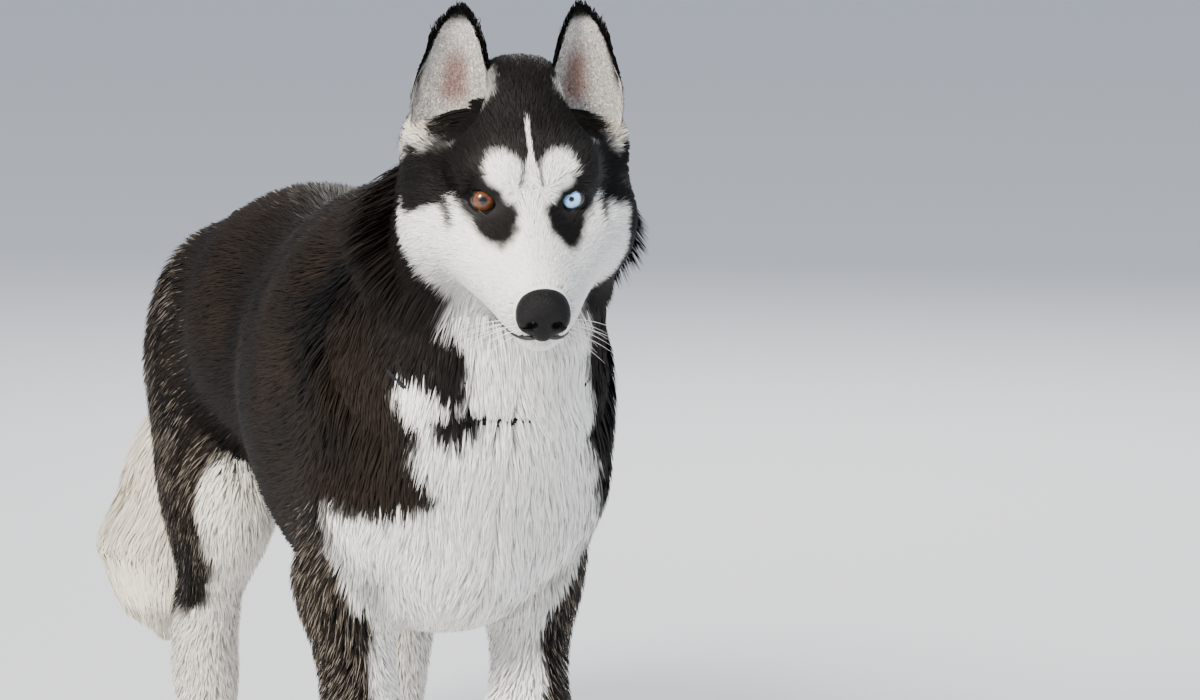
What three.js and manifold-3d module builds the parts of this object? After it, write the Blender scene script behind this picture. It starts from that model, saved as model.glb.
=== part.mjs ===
// A Siberian husky, life size, standing still with its head turned towards its right.
// Millimetres, +Z up. The dog faces -Y, its own left is +X, and its feet rest on Z = 0.
import * as THREE from "three";
import { mergeVertices } from "three/addons/utils/BufferGeometryUtils.js";
import Module from "manifold-3d";

const wasm = await Module();
wasm.setup();

// Driving sizes. All of them are measured over the tips of the coat.
const GAP = 0.3; // clear space between neighbouring pieces
const EYE_MID = [-9, -425, 640]; // the point midway between the eyes
const HEAD_TURN = -11.5; // degrees, towards the dog's right
const HEAD_BOW = 17.5; // degrees, nose down
const EYE_APART = 34; // from the middle of the face to each eye's centre
const EYEBALL = 11.2; // radius
const EYE_BACK = 5.5; // from the face plane back to the eyeball's centre
const LID = 2.3; // thickness of an eyelid
const FOREPAW = [70, -216]; // where a forepaw stands: aside, along
const HINDPAW_LEFT = [66, 128];
const HINDPAW_RIGHT = [-70, 226];
const STRAP_WIDE = 20; // the collar's strap
const STRAP_THICK = 3;

// How far the locks stand over the body under them.
const RUFF_DEEP = 14;
const BRUSH_DEEP = 15;
const BREECH_DEEP = 11;
const CHEEK_DEEP = 8;

const BLACK = 0x17130f;
const WHITE = 0xe9e4da;
const CREAM = 0xe8dfcc;
const PINK = 0x9c7468;
const LEATHER = 0x14110f;

const vec = (p) => new THREE.Vector3(...p);
const rad = THREE.MathUtils.degToRad;
const clamp = THREE.MathUtils.clamp;
const pair = (make) => [make(1), make(-1)];

// Shapes below are signed distances: functions of x, y, z, below zero inside.

// An ellipsoid, leaned nose down about X by some degrees.
function ball([cx, cy, cz], [rx, ry, rz], lean = 0) {
  const c = Math.cos(rad(lean));
  const s = Math.sin(rad(lean));
  return (x, y, z) => {
    const dx = x - cx;
    const dy = c * (y - cy) + s * (z - cz);
    const dz = -s * (y - cy) + c * (z - cz);
    const near = Math.hypot(dx / rx, dy / ry, dz / rz);
    const slope = Math.hypot(dx / (rx * rx), dy / (ry * ry), dz / (rz * rz));
    return slope < 1e-9 ? -Math.min(rx, ry, rz) : (near * (near - 1)) / slope;
  };
}

// A bar with round ends of two radii. Slim narrows it across X.
function bar(from, to, radiusFrom, radiusTo, slim = 1) {
  const a = vec(from);
  const line = vec(to).sub(a);
  const long = line.lengthSq();
  return (x, y, z) => {
    const dy = y - a.y;
    const dz = z - a.z;
    const t = clamp(((x - a.x) * line.x + dy * line.y + dz * line.z) / long, 0, 1);
    const away = Math.hypot((x - a.x - t * line.x) / slim, dy - t * line.y, dz - t * line.z);
    return (away - radiusFrom - (radiusTo - radiusFrom) * t) * Math.min(1, slim);
  };
}

// A soft union that rounds each join over about k.
function blend(k, ...shapes) {
  return (x, y, z) => {
    let d = shapes[0](x, y, z);
    for (let i = 1; i < shapes.length; i += 1) {
      const e = shapes[i](x, y, z);
      const h = Math.max(k - Math.abs(d - e), 0) / k;
      d = Math.min(d, e) - (h * h * k) / 4;
    }
    return d;
  };
}

// Rises smoothly from 0 to 1 while a value goes from low to high.
function ramp(value, low, high) {
  const t = clamp((value - low) / (high - low), 0, 1);
  return t * t * (3 - 2 * t);
}

// The distance from a point, going one way, to where the shape ends.
function reach(field, from, way) {
  const step = 5;
  const most = 330;
  const at = (r) => field(from.x + way.x * r, from.y + way.y * r, from.z + way.z * r);
  if (at(0) > 0) return 0;
  let inside = 0;
  let outside = step;
  while (outside < most && at(outside) <= 0) {
    inside = outside;
    outside += step;
  }
  for (let i = 0; i < 10; i += 1) {
    const middle = (inside + outside) / 2;
    if (at(middle) <= 0) inside = middle;
    else outside = middle;
  }
  return inside;
}

const evenly = (count, from = 0, to = 1) =>
  Array.from({ length: count }, (_, i) => from + ((to - from) * i) / (count - 1));

function surface(positions, index) {
  const made = new THREE.BufferGeometry();
  made.setAttribute("position", new THREE.Float32BufferAttribute(positions, 3));
  made.setIndex(index);
  return made;
}

// Closes a stack of rings, each of the same number of points, with a point at either end.
function stack(rings, first, last) {
  const sides = rings[0].length;
  const positions = rings.flat().concat([first, last]).flatMap((p) => [p.x, p.y, p.z]);
  const index = [];
  const end = rings.length * sides;
  for (let j = 0; j < sides; j += 1) {
    const k = (j + 1) % sides;
    for (let i = 0; i < rings.length - 1; i += 1) {
      const low = i * sides;
      const high = low + sides;
      index.push(low + j, high + j, low + k, low + k, high + j, high + k);
    }
    index.push(j, k, end, end - sides + j, end + 1, end - sides + k);
  }
  return surface(positions, index);
}

// Which way is up in a slice through the centre of a shape. The slices of a shape never cross.
const upright = () => new THREE.Vector3(0, 0, 1);
const level = () => new THREE.Vector3(0, -1, 0);
const square = null;

// A skin over a shape: slices along a curved axis, found by going out from the axis.
function wrap(field, path, marks, sides, slice = upright) {
  const axis = new THREE.CatmullRomCurve3(path.map(vec), false, "centripetal");
  const rings = marks.map((mark) => {
    const centre = axis.getPointAt(mark);
    const along = axis.getTangentAt(mark);
    let over = slice ? slice(centre) : upright();
    const aside = new THREE.Vector3().crossVectors(along, over);
    if (slice) aside.set(Math.sign(aside.x), 0, 0);
    else over = new THREE.Vector3().crossVectors(aside.normalize(), along);
    return evenly(sides + 1).slice(0, sides).map((turn) => {
      const angle = 2 * Math.PI * turn;
      const way = aside.clone().multiplyScalar(Math.cos(angle)).addScaledVector(over, Math.sin(angle));
      return centre.clone().addScaledVector(way, Math.max(reach(field, centre, way), 0.8));
    });
  });
  const ends = [marks[0], marks[marks.length - 1]].map((mark, i) => {
    const centre = axis.getPointAt(mark);
    const out = axis.getTangentAt(mark).multiplyScalar(i ? 1 : -1);
    return centre.addScaledVector(out, reach(field, centre, out));
  });
  return stack(rings, ...ends);
}

// Solids for joining and cutting.
function solid(geometry, place) {
  const bare = geometry.index ? geometry.toNonIndexed() : geometry.clone();
  bare.deleteAttribute("normal");
  bare.deleteAttribute("uv");
  if (place) bare.applyMatrix4(place);
  const merged = mergeVertices(bare, 1e-3);
  const triVerts = new Uint32Array(merged.index.array);
  const vertProperties = merged.attributes.position.array;
  return new wasm.Manifold(new wasm.Mesh({ numProp: 3, vertProperties, triVerts }));
}

// The surface of a solid. Where it touches itself, its two sides draw apart by a hair.
const HAIR = 0.02;
function geometryOf(shape) {
  const mesh = shape.getMesh();
  const made = surface(Array.from(mesh.vertProperties), Array.from(mesh.triVerts));
  made.computeVertexNormals();
  const { position, normal } = made.attributes;
  const spots = new Map();
  for (let i = 0; i < position.count; i += 1) {
    const spot = [position.getX(i), position.getY(i), position.getZ(i)].map((value) => value.toFixed(3)).join();
    spots.set(spot, [...(spots.get(spot) || []), i]);
  }
  [...spots.values()].filter((same) => same.length > 1).flat().forEach((i) => {
    const point = new THREE.Vector3().fromBufferAttribute(position, i);
    point.addScaledVector(new THREE.Vector3().fromBufferAttribute(normal, i), -HAIR);
    position.setXYZ(i, point.x, point.y, point.z);
  });
  made.deleteAttribute("normal");
  return made;
}

// The largest closed body of a solid, without the crumbs and pockets that joins and cuts can leave.
function largest(shape) {
  const most = (whole) => whole.decompose().reduce((a, b) => (b.volume() > a.volume() ? b : a));
  return most(solid(geometryOf(most(shape.asOriginal().simplify(0.15)))));
}

const join = (...shapes) => shapes.reduce((all, one) => all.add(one));

// Where a turned block sits: its centre, and its turns about X, Y and Z in degrees.
function setAt(centre, turns = [0, 0, 0]) {
  const turn = new THREE.Matrix4().makeRotationFromEuler(new THREE.Euler(...turns.map(rad), "ZYX"));
  return new THREE.Matrix4().makeTranslation(...centre).multiply(turn);
}

// A block of space that marks off one part of the dog, at its true size and grown by the gap.
function block(centre, size, turns, frame = new THREE.Matrix4()) {
  const place = frame.clone().multiply(setAt(centre, turns));
  const sized = (grow) => solid(new THREE.BoxGeometry(...size.map((s) => s + 2 * grow)), place);
  return { inside: sized(0), grown: sized(GAP) };
}

// Trunk and neck, one form.
const headFrame = new THREE.Matrix4()
  .makeTranslation(...EYE_MID)
  .multiply(new THREE.Matrix4().makeRotationZ(rad(HEAD_TURN)))
  .multiply(new THREE.Matrix4().makeRotationX(rad(HEAD_BOW)));
const fromHead = (p) => vec(p).applyMatrix4(headFrame).toArray();

const NAPE = fromHead([0, 92, -24]);
const NECK_BASE = [-3, -262, 502];
const trunkCoat = blend(
  46,
  ball([0, -120, 436], [126, 170, 166]),
  bar([0, -110, 454], [0, 130, 476], 148, 114, 0.85),
  bar([0, 130, 472], [0, 238, 466], 114, 104, 0.98),
  ball([0, -120, 552], [64, 130, 66]),
  ball([0, -262, 432], [88, 74, 116]),
  ball([0, -200, 356], [80, 96, 82]),
  ...pair((s) => bar([s * 64, -150, 520], [s * 72, -242, 405], 58, 54, 0.82)),
  bar(NAPE, NECK_BASE, 82, 116, 1.04),
);
// The body under the ruff and the bib is thinner, and the locks make up the rest.
const ruffRecess = (x, y, z) => RUFF_DEEP * ramp(-y, 188, 232) * ramp(z, 318, 366);
const trunkShape = (x, y, z) => trunkCoat(x, y, z) + ruffRecess(x, y, z);
const TRUNK_PATH = [
  [0, 322, 462], [0, 100, 466], [0, -130, 462], [-2, -236, 508], NAPE, fromHead([0, 28, -10]),
];

// Limbs. Each is a chain from the trunk down to the foot.
const foreChain = (s) => [
  [s * 74, -238, 390], [s * 78, -178, 315], [s * FOREPAW[0], -198, 130], [s * FOREPAW[0], FOREPAW[1] + 8, 40],
];
function foreShape(s) {
  const [shoulder, elbow, wrist, foot] = foreChain(s);
  return blend(
    26,
    bar(shoulder, elbow, 50, 48, 0.84),
    bar([elbow[0], elbow[1] - 4, elbow[2]], [wrist[0], wrist[1], 190], 45, 34, 0.86),
    bar([wrist[0], wrist[1], 190], wrist, 34, 28, 0.92),
    bar(wrist, foot, 27, 24, 0.95),
  );
}
function hindChain(s, [x, y]) {
  const step = y - HINDPAW_RIGHT[1];
  return [
    [s * 60, 226, 486], [s * 74, 182 + 0.4 * step, 338], [(s * 76 + x) / 2, y + 8, 208],
    [x, y + 20, 160], [x, y + 4, 42],
  ];
}
// The back of the thigh is thinner where the breeches grow.
const breechRecess = (y, z, [, at]) => BREECH_DEEP * ramp(y, at - 22, at + 26) * ramp(z, 258, 300);
function hindShape(s, paw) {
  const [hip, knee, shank, hock, foot] = hindChain(s, paw);
  const coat = blend(
    30,
    bar([hip[0], hip[1] + 10, hip[2] - 30], knee, 96, 70, 0.6),
    bar([hip[0] + s * 6, hip[1] + 28, hip[2] - 70], [knee[0], knee[1] + 58, knee[2] + 10], 64, 50, 0.7),
    bar(knee, shank, 66, 32, 0.66),
    bar([shank[0], shank[1] + 4, shank[2]], hock, 30, 27, 0.76),
    bar(hock, foot, 25, 22, 0.88),
  );
  return (x, y, z) => coat(x, y, z) + breechRecess(y, z, paw);
}
const TAIL_PATH = [
  [0, 308, 532], [-4, 358, 482], [-18, 386, 400], [-44, 389, 312], [-75, 386, 243], [-66, 380, 190],
];
const tailCoat = blend(
  30,
  bar(TAIL_PATH[0], TAIL_PATH[1], 30, 36),
  bar(TAIL_PATH[1], TAIL_PATH[2], 36, 45),
  bar(TAIL_PATH[2], TAIL_PATH[3], 45, 50),
  bar(TAIL_PATH[3], TAIL_PATH[4], 50, 48),
  bar(TAIL_PATH[4], TAIL_PATH[5], 48, 20),
);

const brushRecess = (z) => BRUSH_DEEP * ramp(-z, -520, -450);
const tailShape = (x, y, z) => tailCoat(x, y, z) + brushRecess(z);

// The head has its own frame: the middle of the eyes, X to its left, -Y to its nose, Z up.
const headCoat = blend(
  16,
  ball([0, 68, 22], [72, 62, 68]),
  ball([0, 20, 16], [56, 32, 36]),
  bar([0, -4, -14], [0, -92, -42], 23, 16, 1.15),
  bar([0, 6, -40], [0, -82, -54], 38, 25, 1.02),
  bar([0, 24, -72], [0, -80, -72], 32, 14, 1.05),
  ...pair((s) => ball([s * 46, 56, -42], [47, 50, 58])),
  ...pair((s) => ball([s * 56, 84, 12], [34, 36, 48])),
  ...pair((s) => bar([s * 44, 46, -32], [s * 14, -66, -52], 42, 19)),
  ...pair((s) => bar([s * 17, 0, 17], [s * 37, 9, 18], 10, 11)),
);
const cheekRecess = (x, y, z) => CHEEK_DEEP * ramp(y, 34, 60) * ramp(-z, 0, 30) * ramp(Math.abs(x), 30, 60);
const headShape = (x, y, z) => headCoat(x, y, z) + cheekRecess(x, y, z);
const HEAD_PATH = [[0, -98, -54], [0, -60, -52], [0, 0, -34], [0, 60, -14], [0, 118, -6]];

// An ear is a stack of crescents, open to the front. Grow makes it larger all round.
const EAR_ROOT = [50, 80, 12];
const EAR_LONG = 113;
const EAR_EDGE = 1;
const EAR_ROWS = [
  [0, 30, 8], [0.2, 34, 8], [0.38, 34.5, 7], [0.56, 30, 6], [0.74, 22, 5], [0.88, 13, 4], [0.97, 6, 3],
];
function ear(s, grow = 0) {
  const points = 8;
  const rows = EAR_ROWS.map(([t, half, thick]) => {
    const cup = half * 0.62;
    const wide = half + grow;
    const outer = evenly(points, -1, 1).map((q) => [wide * q, cup * (1 - q * q) + EAR_EDGE + grow]);
    const inner = evenly(points, 1, -1)
      .map((q) => [wide * q, (cup - thick) * (1 - q * q) - EAR_EDGE - grow]);
    const z = t * EAR_LONG + (t ? grow : -grow);
    return [...outer, ...inner].map(([x, y]) => new THREE.Vector3(x, y - cup * 0.5, z));
  });
  const tip = new THREE.Vector3(0, 0, EAR_LONG + grow);
  const foot = new THREE.Vector3(0, EAR_ROWS[0][1] * 0.2, -grow - 1);
  const place = headFrame.clone().multiply(setAt([s * EAR_ROOT[0], EAR_ROOT[1], EAR_ROOT[2]], [-4, s * -1, s * 16]));
  return solid(stack(rows, foot, tip), place);
}

// Eyes sit in round sockets under lids with almond openings.
const eyeAt = (s) => [s * EYE_APART, EYE_BACK, 0];
const sphere = (radius, at, frame) =>
  solid(new THREE.SphereGeometry(radius, 12, 9), frame.clone().multiply(setAt(at, [90, 0, 0])));
function almond(s, wide, high, deep) {
  const outline = new THREE.Shape();
  outline.moveTo(-wide, -0.12 * high);
  outline.bezierCurveTo(-0.55 * wide, 1.15 * high, 0.55 * wide, 1.15 * high, wide, 0.1 * high);
  outline.bezierCurveTo(0.6 * wide, -1.2 * high, -0.5 * wide, -1.25 * high, -wide, -0.12 * high);
  const cut = new THREE.ExtrudeGeometry(outline, { depth: deep, bevelEnabled: false, curveSegments: 5 });
  const place = headFrame.clone().multiply(setAt([s * EYE_APART, EYE_BACK, 0], [78, 0, s * 8]));
  const lean = new THREE.Matrix4().makeRotationZ(rad(s * 14));
  if (s < 0) lean.multiply(new THREE.Matrix4().makeRotationY(Math.PI)).multiply(new THREE.Matrix4().makeTranslation(0, 0, -deep));
  return solid(cut, place.multiply(lean));
}

// Nose leather.
const noseShape = (grow) => {
  const form = blend(
    6,
    ball([0, -97, -46], [19.5, 15.5, 15]),
    ...pair((s) => ball([s * 10.5, -100, -52], [10, 12.5, 10.5])),
    ball([0, -98, -59], [7, 12, 8]),
  );
  return (x, y, z) => form(x, y, z) - grow;
};
const NOSE_PATH = [[0, -111, -50], [0, -96, -49], [0, -86, -49]];

// The mouth's line runs from under the nose back along each side, with a short line up to the nose.
const mouthLine = () => {
  const side = pair((s) => [[0, -107, -67], [s * 14, -101, -71], [s * 25, -84, -71], [s * 33, -56, -69], [s * 42, -26, -66]]);
  const grooves = side.map((line) => wrap(bars(line, 1.3), line, evenly(8), 6, square));
  const lip = [[0, -111, -62], [0, -108, -69]];
  return join(...grooves.map((g) => solid(g, headFrame)), solid(wrap(bars(lip, 1.1), lip, evenly(3), 6, level), headFrame));
};
function bars(line, radius) {
  return blend(0.5, ...line.slice(1).map((p, i) => bar(line[i], p, radius, radius)));
}

// Feet.
function pawShape(x, y, long) {
  const toe = (aside, ahead) => ball([x + aside, y - ahead, 16], [11.5, 19, 17.5], 8);
  return blend(
    8,
    ball([x, y + 6, 24], [28, long, 26]),
    toe(-9.5, 30), toe(9.5, 30), toe(-24, 18), toe(24, 18),
    ball([x, y + 12, 10], [24, 26, 14]),
  );
}
function claws(x, y) {
  const nails = [[-9.5, 30], [9.5, 30], [-24, 18], [24, 18]].map(([aside, ahead]) =>
    solid(new THREE.ConeGeometry(3.2, 16, 5), setAt([x + aside * 1.03, y - ahead - 18, 8.5], [118, 0, 0])));
  return join(...nails);
}

const paw = (x, y) =>
  solid(wrap(pawShape(x, y, 33), [[x, y - 42, 16], [x, y, 20], [x, y + 34, 22]], evenly(9, 0.02, 0.98), 12));
const foreLimb = (s) => join(
  solid(wrap(foreShape(s), foreChain(s), evenly(15), 14, level)),
  paw(s * FOREPAW[0], FOREPAW[1]), claws(s * FOREPAW[0], FOREPAW[1]),
);
const hindLimb = (s, at) => join(
  solid(wrap(hindShape(s, at), hindChain(s, at), evenly(20), 14, level)), paw(...at), claws(...at),
);

// The collar lies in the coat, high at the back of the neck and low at the front.
const STRAP_MIDDLE = [-3, -275, 530];
const STRAP_LEAN = 45;
const STRAP_DEEP = -1; // how far the strap's outer side lies under the body's surface
function strap(from, to, wide) {
  const place = setAt(STRAP_MIDDLE, [STRAP_LEAN, 0, 0]);
  const centre = vec(STRAP_MIDDLE);
  const up = new THREE.Vector3(0, 0, 1).transformDirection(place).multiplyScalar(wide / 2);
  const count = 32;
  const rows = evenly(count + 1).slice(0, count).map((turn) => {
    const way = new THREE.Vector3(Math.cos(2 * Math.PI * turn), Math.sin(2 * Math.PI * turn), 0).transformDirection(place);
    const r = reach(trunkShape, centre, way);
    const at = (depth, side) => centre.clone().addScaledVector(way, r + depth).addScaledVector(up, side);
    return [at(from, -1), at(to, -1), at(to, 1), at(from, 1)];
  });
  return ringOf(rows);
}
// Joins the last row of a stack back to its first.
function ringOf(rows) {
  const sides = rows[0].length;
  const index = [];
  rows.forEach((row, i) => {
    const next = ((i + 1) % rows.length) * sides;
    for (let j = 0; j < sides; j += 1) {
      const k = (j + 1) % sides;
      const low = i * sides;
      index.push(low + j, next + j, low + k, low + k, next + j, next + k);
    }
  });
  return solid(surface(rows.flat().flatMap((p) => [p.x, p.y, p.z]), index));
}

const floorCut = solid(new THREE.BoxGeometry(1200, 1800, 200), setAt([0, 0, -100]));
// Slices of the neck all meet in a line far above the withers.
const FAN = new THREE.Vector3(0, -120, 830);
const fanned = (c) => (c.y > FAN.y ? upright() : FAN.clone().sub(c).setX(0).normalize());
const trunk = solid(wrap(trunkShape, TRUNK_PATH, evenly(29, 0.006, 0.996), 22, fanned));
const head = solid(wrap(headShape, HEAD_PATH, evenly(23), 24), headFrame);
const tail = solid(wrap(tailShape, TAIL_PATH, evenly(15), 14, level));
let rest = join(
  trunk, head, tail, foreLimb(1), foreLimb(-1), hindLimb(1, HINDPAW_LEFT), hindLimb(-1, HINDPAW_RIGHT),
).subtract(floorCut);

// Locks. Each is a flat tapering strand, sunk at its root, that bends along the coat's lie.
const LOCK_ROWS = [[0, 0.7], [0.32, 1], [0.64, 0.85], [0.87, 0.45]];
function lock(root, middle, end, size, grow = 0) {
  const along = end.at.clone().sub(root.at).normalize();
  const across = new THREE.Vector3().crossVectors(root.out, along).normalize();
  const over = (place, height) => place.at.clone().addScaledVector(place.out, height);
  const first = over(root, -size.sunk).addScaledVector(along, -0.1 * size.long);
  const last = over(end, end.rise * size.tip).addScaledVector(across, size.sway);
  const crown = over(middle, middle.rise);
  const spine = new THREE.QuadraticBezierCurve3(
    first, crown.multiplyScalar(2).addScaledVector(first, -0.5).addScaledVector(last, -0.5), last);
  const rows = LOCK_ROWS.map(([t, share]) => {
    const centre = spine.getPoint(t);
    const up = new THREE.Vector3().crossVectors(spine.getTangent(t), across).normalize();
    const wide = size.wide * share * 0.5 + grow;
    const thick = size.thick * share * 0.5 + grow;
    return [[1, 0], [0, -1], [-1, 0], [0, 1]].map(([a, b]) =>
      centre.clone().addScaledVector(across, a * wide).addScaledVector(up, b * thick));
  });
  const tip = spine.getPoint(1).addScaledVector(spine.getTangent(1), grow * 6);
  const start = spine.getPoint(0).addScaledVector(spine.getTangent(0), -grow);
  return solid(stack(rows, start, tip));
}

// The point of a shape's surface nearest to a point, and the way out of the shape there.
function settle(field, point) {
  const at = point.clone();
  const slope = () => {
    const along = (x, y, z) => (field(at.x + x, at.y + y, at.z + z) - field(at.x - x, at.y - y, at.z - z)) / 2;
    return new THREE.Vector3(along(1, 0, 0), along(0, 1, 0), along(0, 0, 1));
  };
  for (let step = 0; step < 4; step += 1) {
    const way = slope();
    at.addScaledVector(way, -field(at.x, at.y, at.z) / way.lengthSq());
  }
  return { at, out: slope().normalize() };
}

// A steady stream of numbers from 0 to 1, the same every time.
function stream(seed) {
  let state = seed;
  return () => {
    state = (state * 16807) % 2147483647;
    return state / 2147483647;
  };
}

// Locks grown from the points where rays leave a shape, out to the coat that lies over it by some depth.
// Each ray has a start, a way out and a lie.
function locks(field, depth, rays, size, seed) {
  const next = stream(seed);
  const place = (point) => {
    const spot = settle(field, point);
    return { ...spot, rise: Math.max(2, depth(spot.at.x, spot.at.y, spot.at.z) - size.thick / 4) };
  };
  const made = rays.map(([from, way, lie]) => {
    const start = vec(from);
    const unit = vec(way).normalize();
    const root = place(start.addScaledVector(unit, reach(field, start, unit)));
    const one = {
      ...size,
      long: size.long * (0.82 + 0.36 * next()),
      wide: size.wide * (0.85 + 0.3 * next()),
      sway: size.long * 0.3 * (next() - 0.5),
      tip: 0.6 + 0.5 * next(),
    };
    const further = ({ at, out }) => {
      const flat = vec(lie).addScaledVector(out, -vec(lie).dot(out)).normalize();
      return place(at.clone().addScaledVector(flat, one.long / 2));
    };
    const middle = further(root);
    return [root, middle, further(middle), one];
  });
  return {
    strands: made.map((m) => lock(...m)),
    rooms: made.map((m) => lock(...m, 2 * GAP)),
  };
}

const dog = new THREE.Group();
function add(name, shape, colour, roughness = 0.85) {
  const material = new THREE.MeshStandardMaterial({ color: colour, roughness, metalness: 0 });
  const mesh = new THREE.Mesh(geometryOf(largest(shape)), material);
  mesh.name = name;
  dog.add(mesh);
}

// Takes the part of the coat inside all the blocks, and leaves the rest a gap away from it.
function take(...blocks) {
  const all = (key) => blocks.map((b) => b[key]).reduce((a, b) => a.intersect(b));
  const part = rest.intersect(all("inside"));
  rest = rest.subtract(all("grown"));
  return part;
}

// Rays that leave a ring round a centre, at some turns in degrees, with a lie along the ring's axis.
function ringRays(centre, forward, zero, turns, lie, slip = 0) {
  const axis = vec(forward).normalize();
  const start = vec(zero).addScaledVector(axis, -vec(zero).dot(axis)).normalize();
  return turns.map((turn) => {
    const way = start.clone().applyAxisAngle(axis, rad(turn));
    const from = vec(centre).addScaledVector(axis, slip * Math.sin(rad(turn * 7.3 + 40)));
    return [from.toArray(), way.toArray(), lie];
  });
}
const turnsOf = (count, from, to, shift = 0) => evenly(count, from, to).map((turn) => turn + shift);

// Ruff: rows round the neck above the collar, their locks lying back and down.
const NECK_FORWARD = [0, -0.707, 0.707];
const NECK_LIE = [0, 0.55, -0.83];
const neckRow = (up, turns) => ringRays(
  vec(STRAP_MIDDLE).addScaledVector(vec(NECK_FORWARD), up).toArray(), NECK_FORWARD, [0, -1, -1], turns, NECK_LIE, 5);
const ruffLocks = locks(trunkShape, ruffRecess, [
  ...neckRow(78, turnsOf(11, 55, 305)),
  ...neckRow(48, turnsOf(12, 15, 345)),
], { long: 48, wide: 36, thick: 10, sunk: 9 }, 11);

// Bib: rows across the front of the chest and the points of the shoulders.
const maneRow = neckRow(-32, [...turnsOf(5, 48, 150), ...turnsOf(5, 210, 312)]);
const bibRow = (z, turns) => ringRays([0, -170, z], [0, 0, 1], [0, -1, 0], turns, [0, 0.1, -1], 8);
const bibLocks = locks(trunkShape, ruffRecess, [
  ...maneRow,
  ...bibRow(452, turnsOf(6, -64, 64)),
  ...bibRow(412, turnsOf(6, -56, 56)),
  ...bibRow(374, turnsOf(5, -42, 42)),
], { long: 62, wide: 32, thick: 9, sunk: 9 }, 31);

// Cheeks: the long hair behind the face, lying back and down.
const cheekRays = (s) => [[52, -12], [56, -44], [46, -72], [64, -28], [58, -60], [40, -52]].map(([y, z]) => {
  const from = [0, y, z * 0.5 - 24];
  const to = [s * 90, y + 10, z - 8];
  const way = vec(to).sub(vec(from)).transformDirection(headFrame).toArray();
  const lie = new THREE.Vector3(s * 0.35, 0.72, -0.6).transformDirection(headFrame).toArray();
  return [fromHead(from), way, lie];
});
const intoHead = headFrame.clone().invert();
const inPlace = (field) => (x, y, z) => {
  const p = new THREE.Vector3(x, y, z).applyMatrix4(intoHead);
  return field(p.x, p.y, p.z);
};
const cheekLocks = locks(inPlace(headShape), inPlace(cheekRecess), pair(cheekRays).flat(),
  { long: 36, wide: 20, thick: 6, sunk: 7 }, 31);

// Tail brush: rings of long locks down each length.
const tailAxis = new THREE.CatmullRomCurve3(TAIL_PATH.map(vec), false, "centripetal");
const brushRow = (mark, count, shift) => {
  const down = tailAxis.getTangentAt(mark).toArray();
  return ringRays(tailAxis.getPointAt(mark).toArray(), down, [0, 1, 0],
    turnsOf(count, 0, 360 - 360 / count, shift), down, 7);
};
const brushSize = { long: 84, wide: 34, thick: 9, sunk: 8 };
const brush = (rays, size, seed) => locks(tailShape, (x, y, z) => brushRecess(z), rays, size, seed);
const brushLocks = {
  root: brush(brushRow(0.2, 6, 0), { ...brushSize, long: 52, wide: 27 }, 41),
  middle: brush([...brushRow(0.36, 7, 20), ...brushRow(0.5, 7, 45)], brushSize, 43),
  tip: brush([...brushRow(0.68, 8, 10), ...brushRow(0.83, 7, 30)], { ...brushSize, long: 72 }, 47),
};

// Breeches: rows down the back of each thigh.
const breechLocks = (s, at) => locks(hindShape(s, at), (x, y, z) => breechRecess(y, z, at), [
  ...[[438, -8], [392, 14], [346, -4], [306, 12]].flatMap(([z, shift]) =>
    ringRays([s * 74, at[1] - 30, z], [0, 0, 1], [0, 1, 0], turnsOf(4, -64, 64, s * shift), [s * 0.1, 0.3, -1], 6)),
], { long: 54, wide: 27, thick: 8, sunk: 8 }, 53);

const cutRooms = (shape, ...groups) => shape.subtract(join(...groups.flatMap((group) => group.rooms)));

// Head with its ears, eyes and nose.
const AROUND_HEAD = block([0, -83, 68], [420, 334, 362], [0, 0, 0], headFrame);
let face = join(take(AROUND_HEAD), ...pair((s) => sphere(EYEBALL + LID, eyeAt(s), headFrame)), ...cheekLocks.strands);
const nose = solid(wrap(noseShape(0), NOSE_PATH, evenly(7, 0.04, 0.96), 12), headFrame);
const nostrils = join(...pair((s) => {
  const place = setAt([s * 9.6, -112.5, -55], [10, s * -20, s * 35]).scale(vec([3.6, 7, 3]));
  return solid(new THREE.SphereGeometry(1, 12, 8), headFrame.clone().multiply(place));
}));
const earRooms = pair((s) => ear(s, 3 * GAP));
face = face.subtract(join(
  ...pair((s) => sphere(EYEBALL + GAP, eyeAt(s), headFrame)),
  ...pair((s) => almond(s, 10.6, 9, 30)),
  ...earRooms,
  solid(wrap(noseShape(GAP), NOSE_PATH, evenly(7, 0.04, 0.96), 12), headFrame),
  mouthLine(),
));
add("head", face, WHITE);
add("nose", nose.subtract(nostrils), LEATHER, 0.45);
for (const [side, s] of [["left", 1], ["right", -1]]) {
  add(`ear_${side}`, ear(s), BLACK);
  add(`eye_${side}`, sphere(EYEBALL, eyeAt(s), headFrame), s > 0 ? 0x8fc4ea : 0x6d3a1c, 0.15);
}

// Collar, and the neck that it goes round.
const collar = strap(-STRAP_DEEP - STRAP_THICK, -STRAP_DEEP, STRAP_WIDE);
const collarRoom = strap(-STRAP_DEEP - STRAP_THICK - GAP, 60, STRAP_WIDE + 2 * GAP);
const AROUND_NECK = block([0, -262 - 141, 508 + 141], [460, 460, 400], [45, 0, 0]);
const neck = cutRooms(join(take(AROUND_NECK), ...ruffLocks.strands), cheekLocks);
add("neck", neck.subtract(join(collarRoom, AROUND_HEAD.grown, ...earRooms)), BLACK);
add("collar", collar, 0x2a2624, 0.6);

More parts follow.
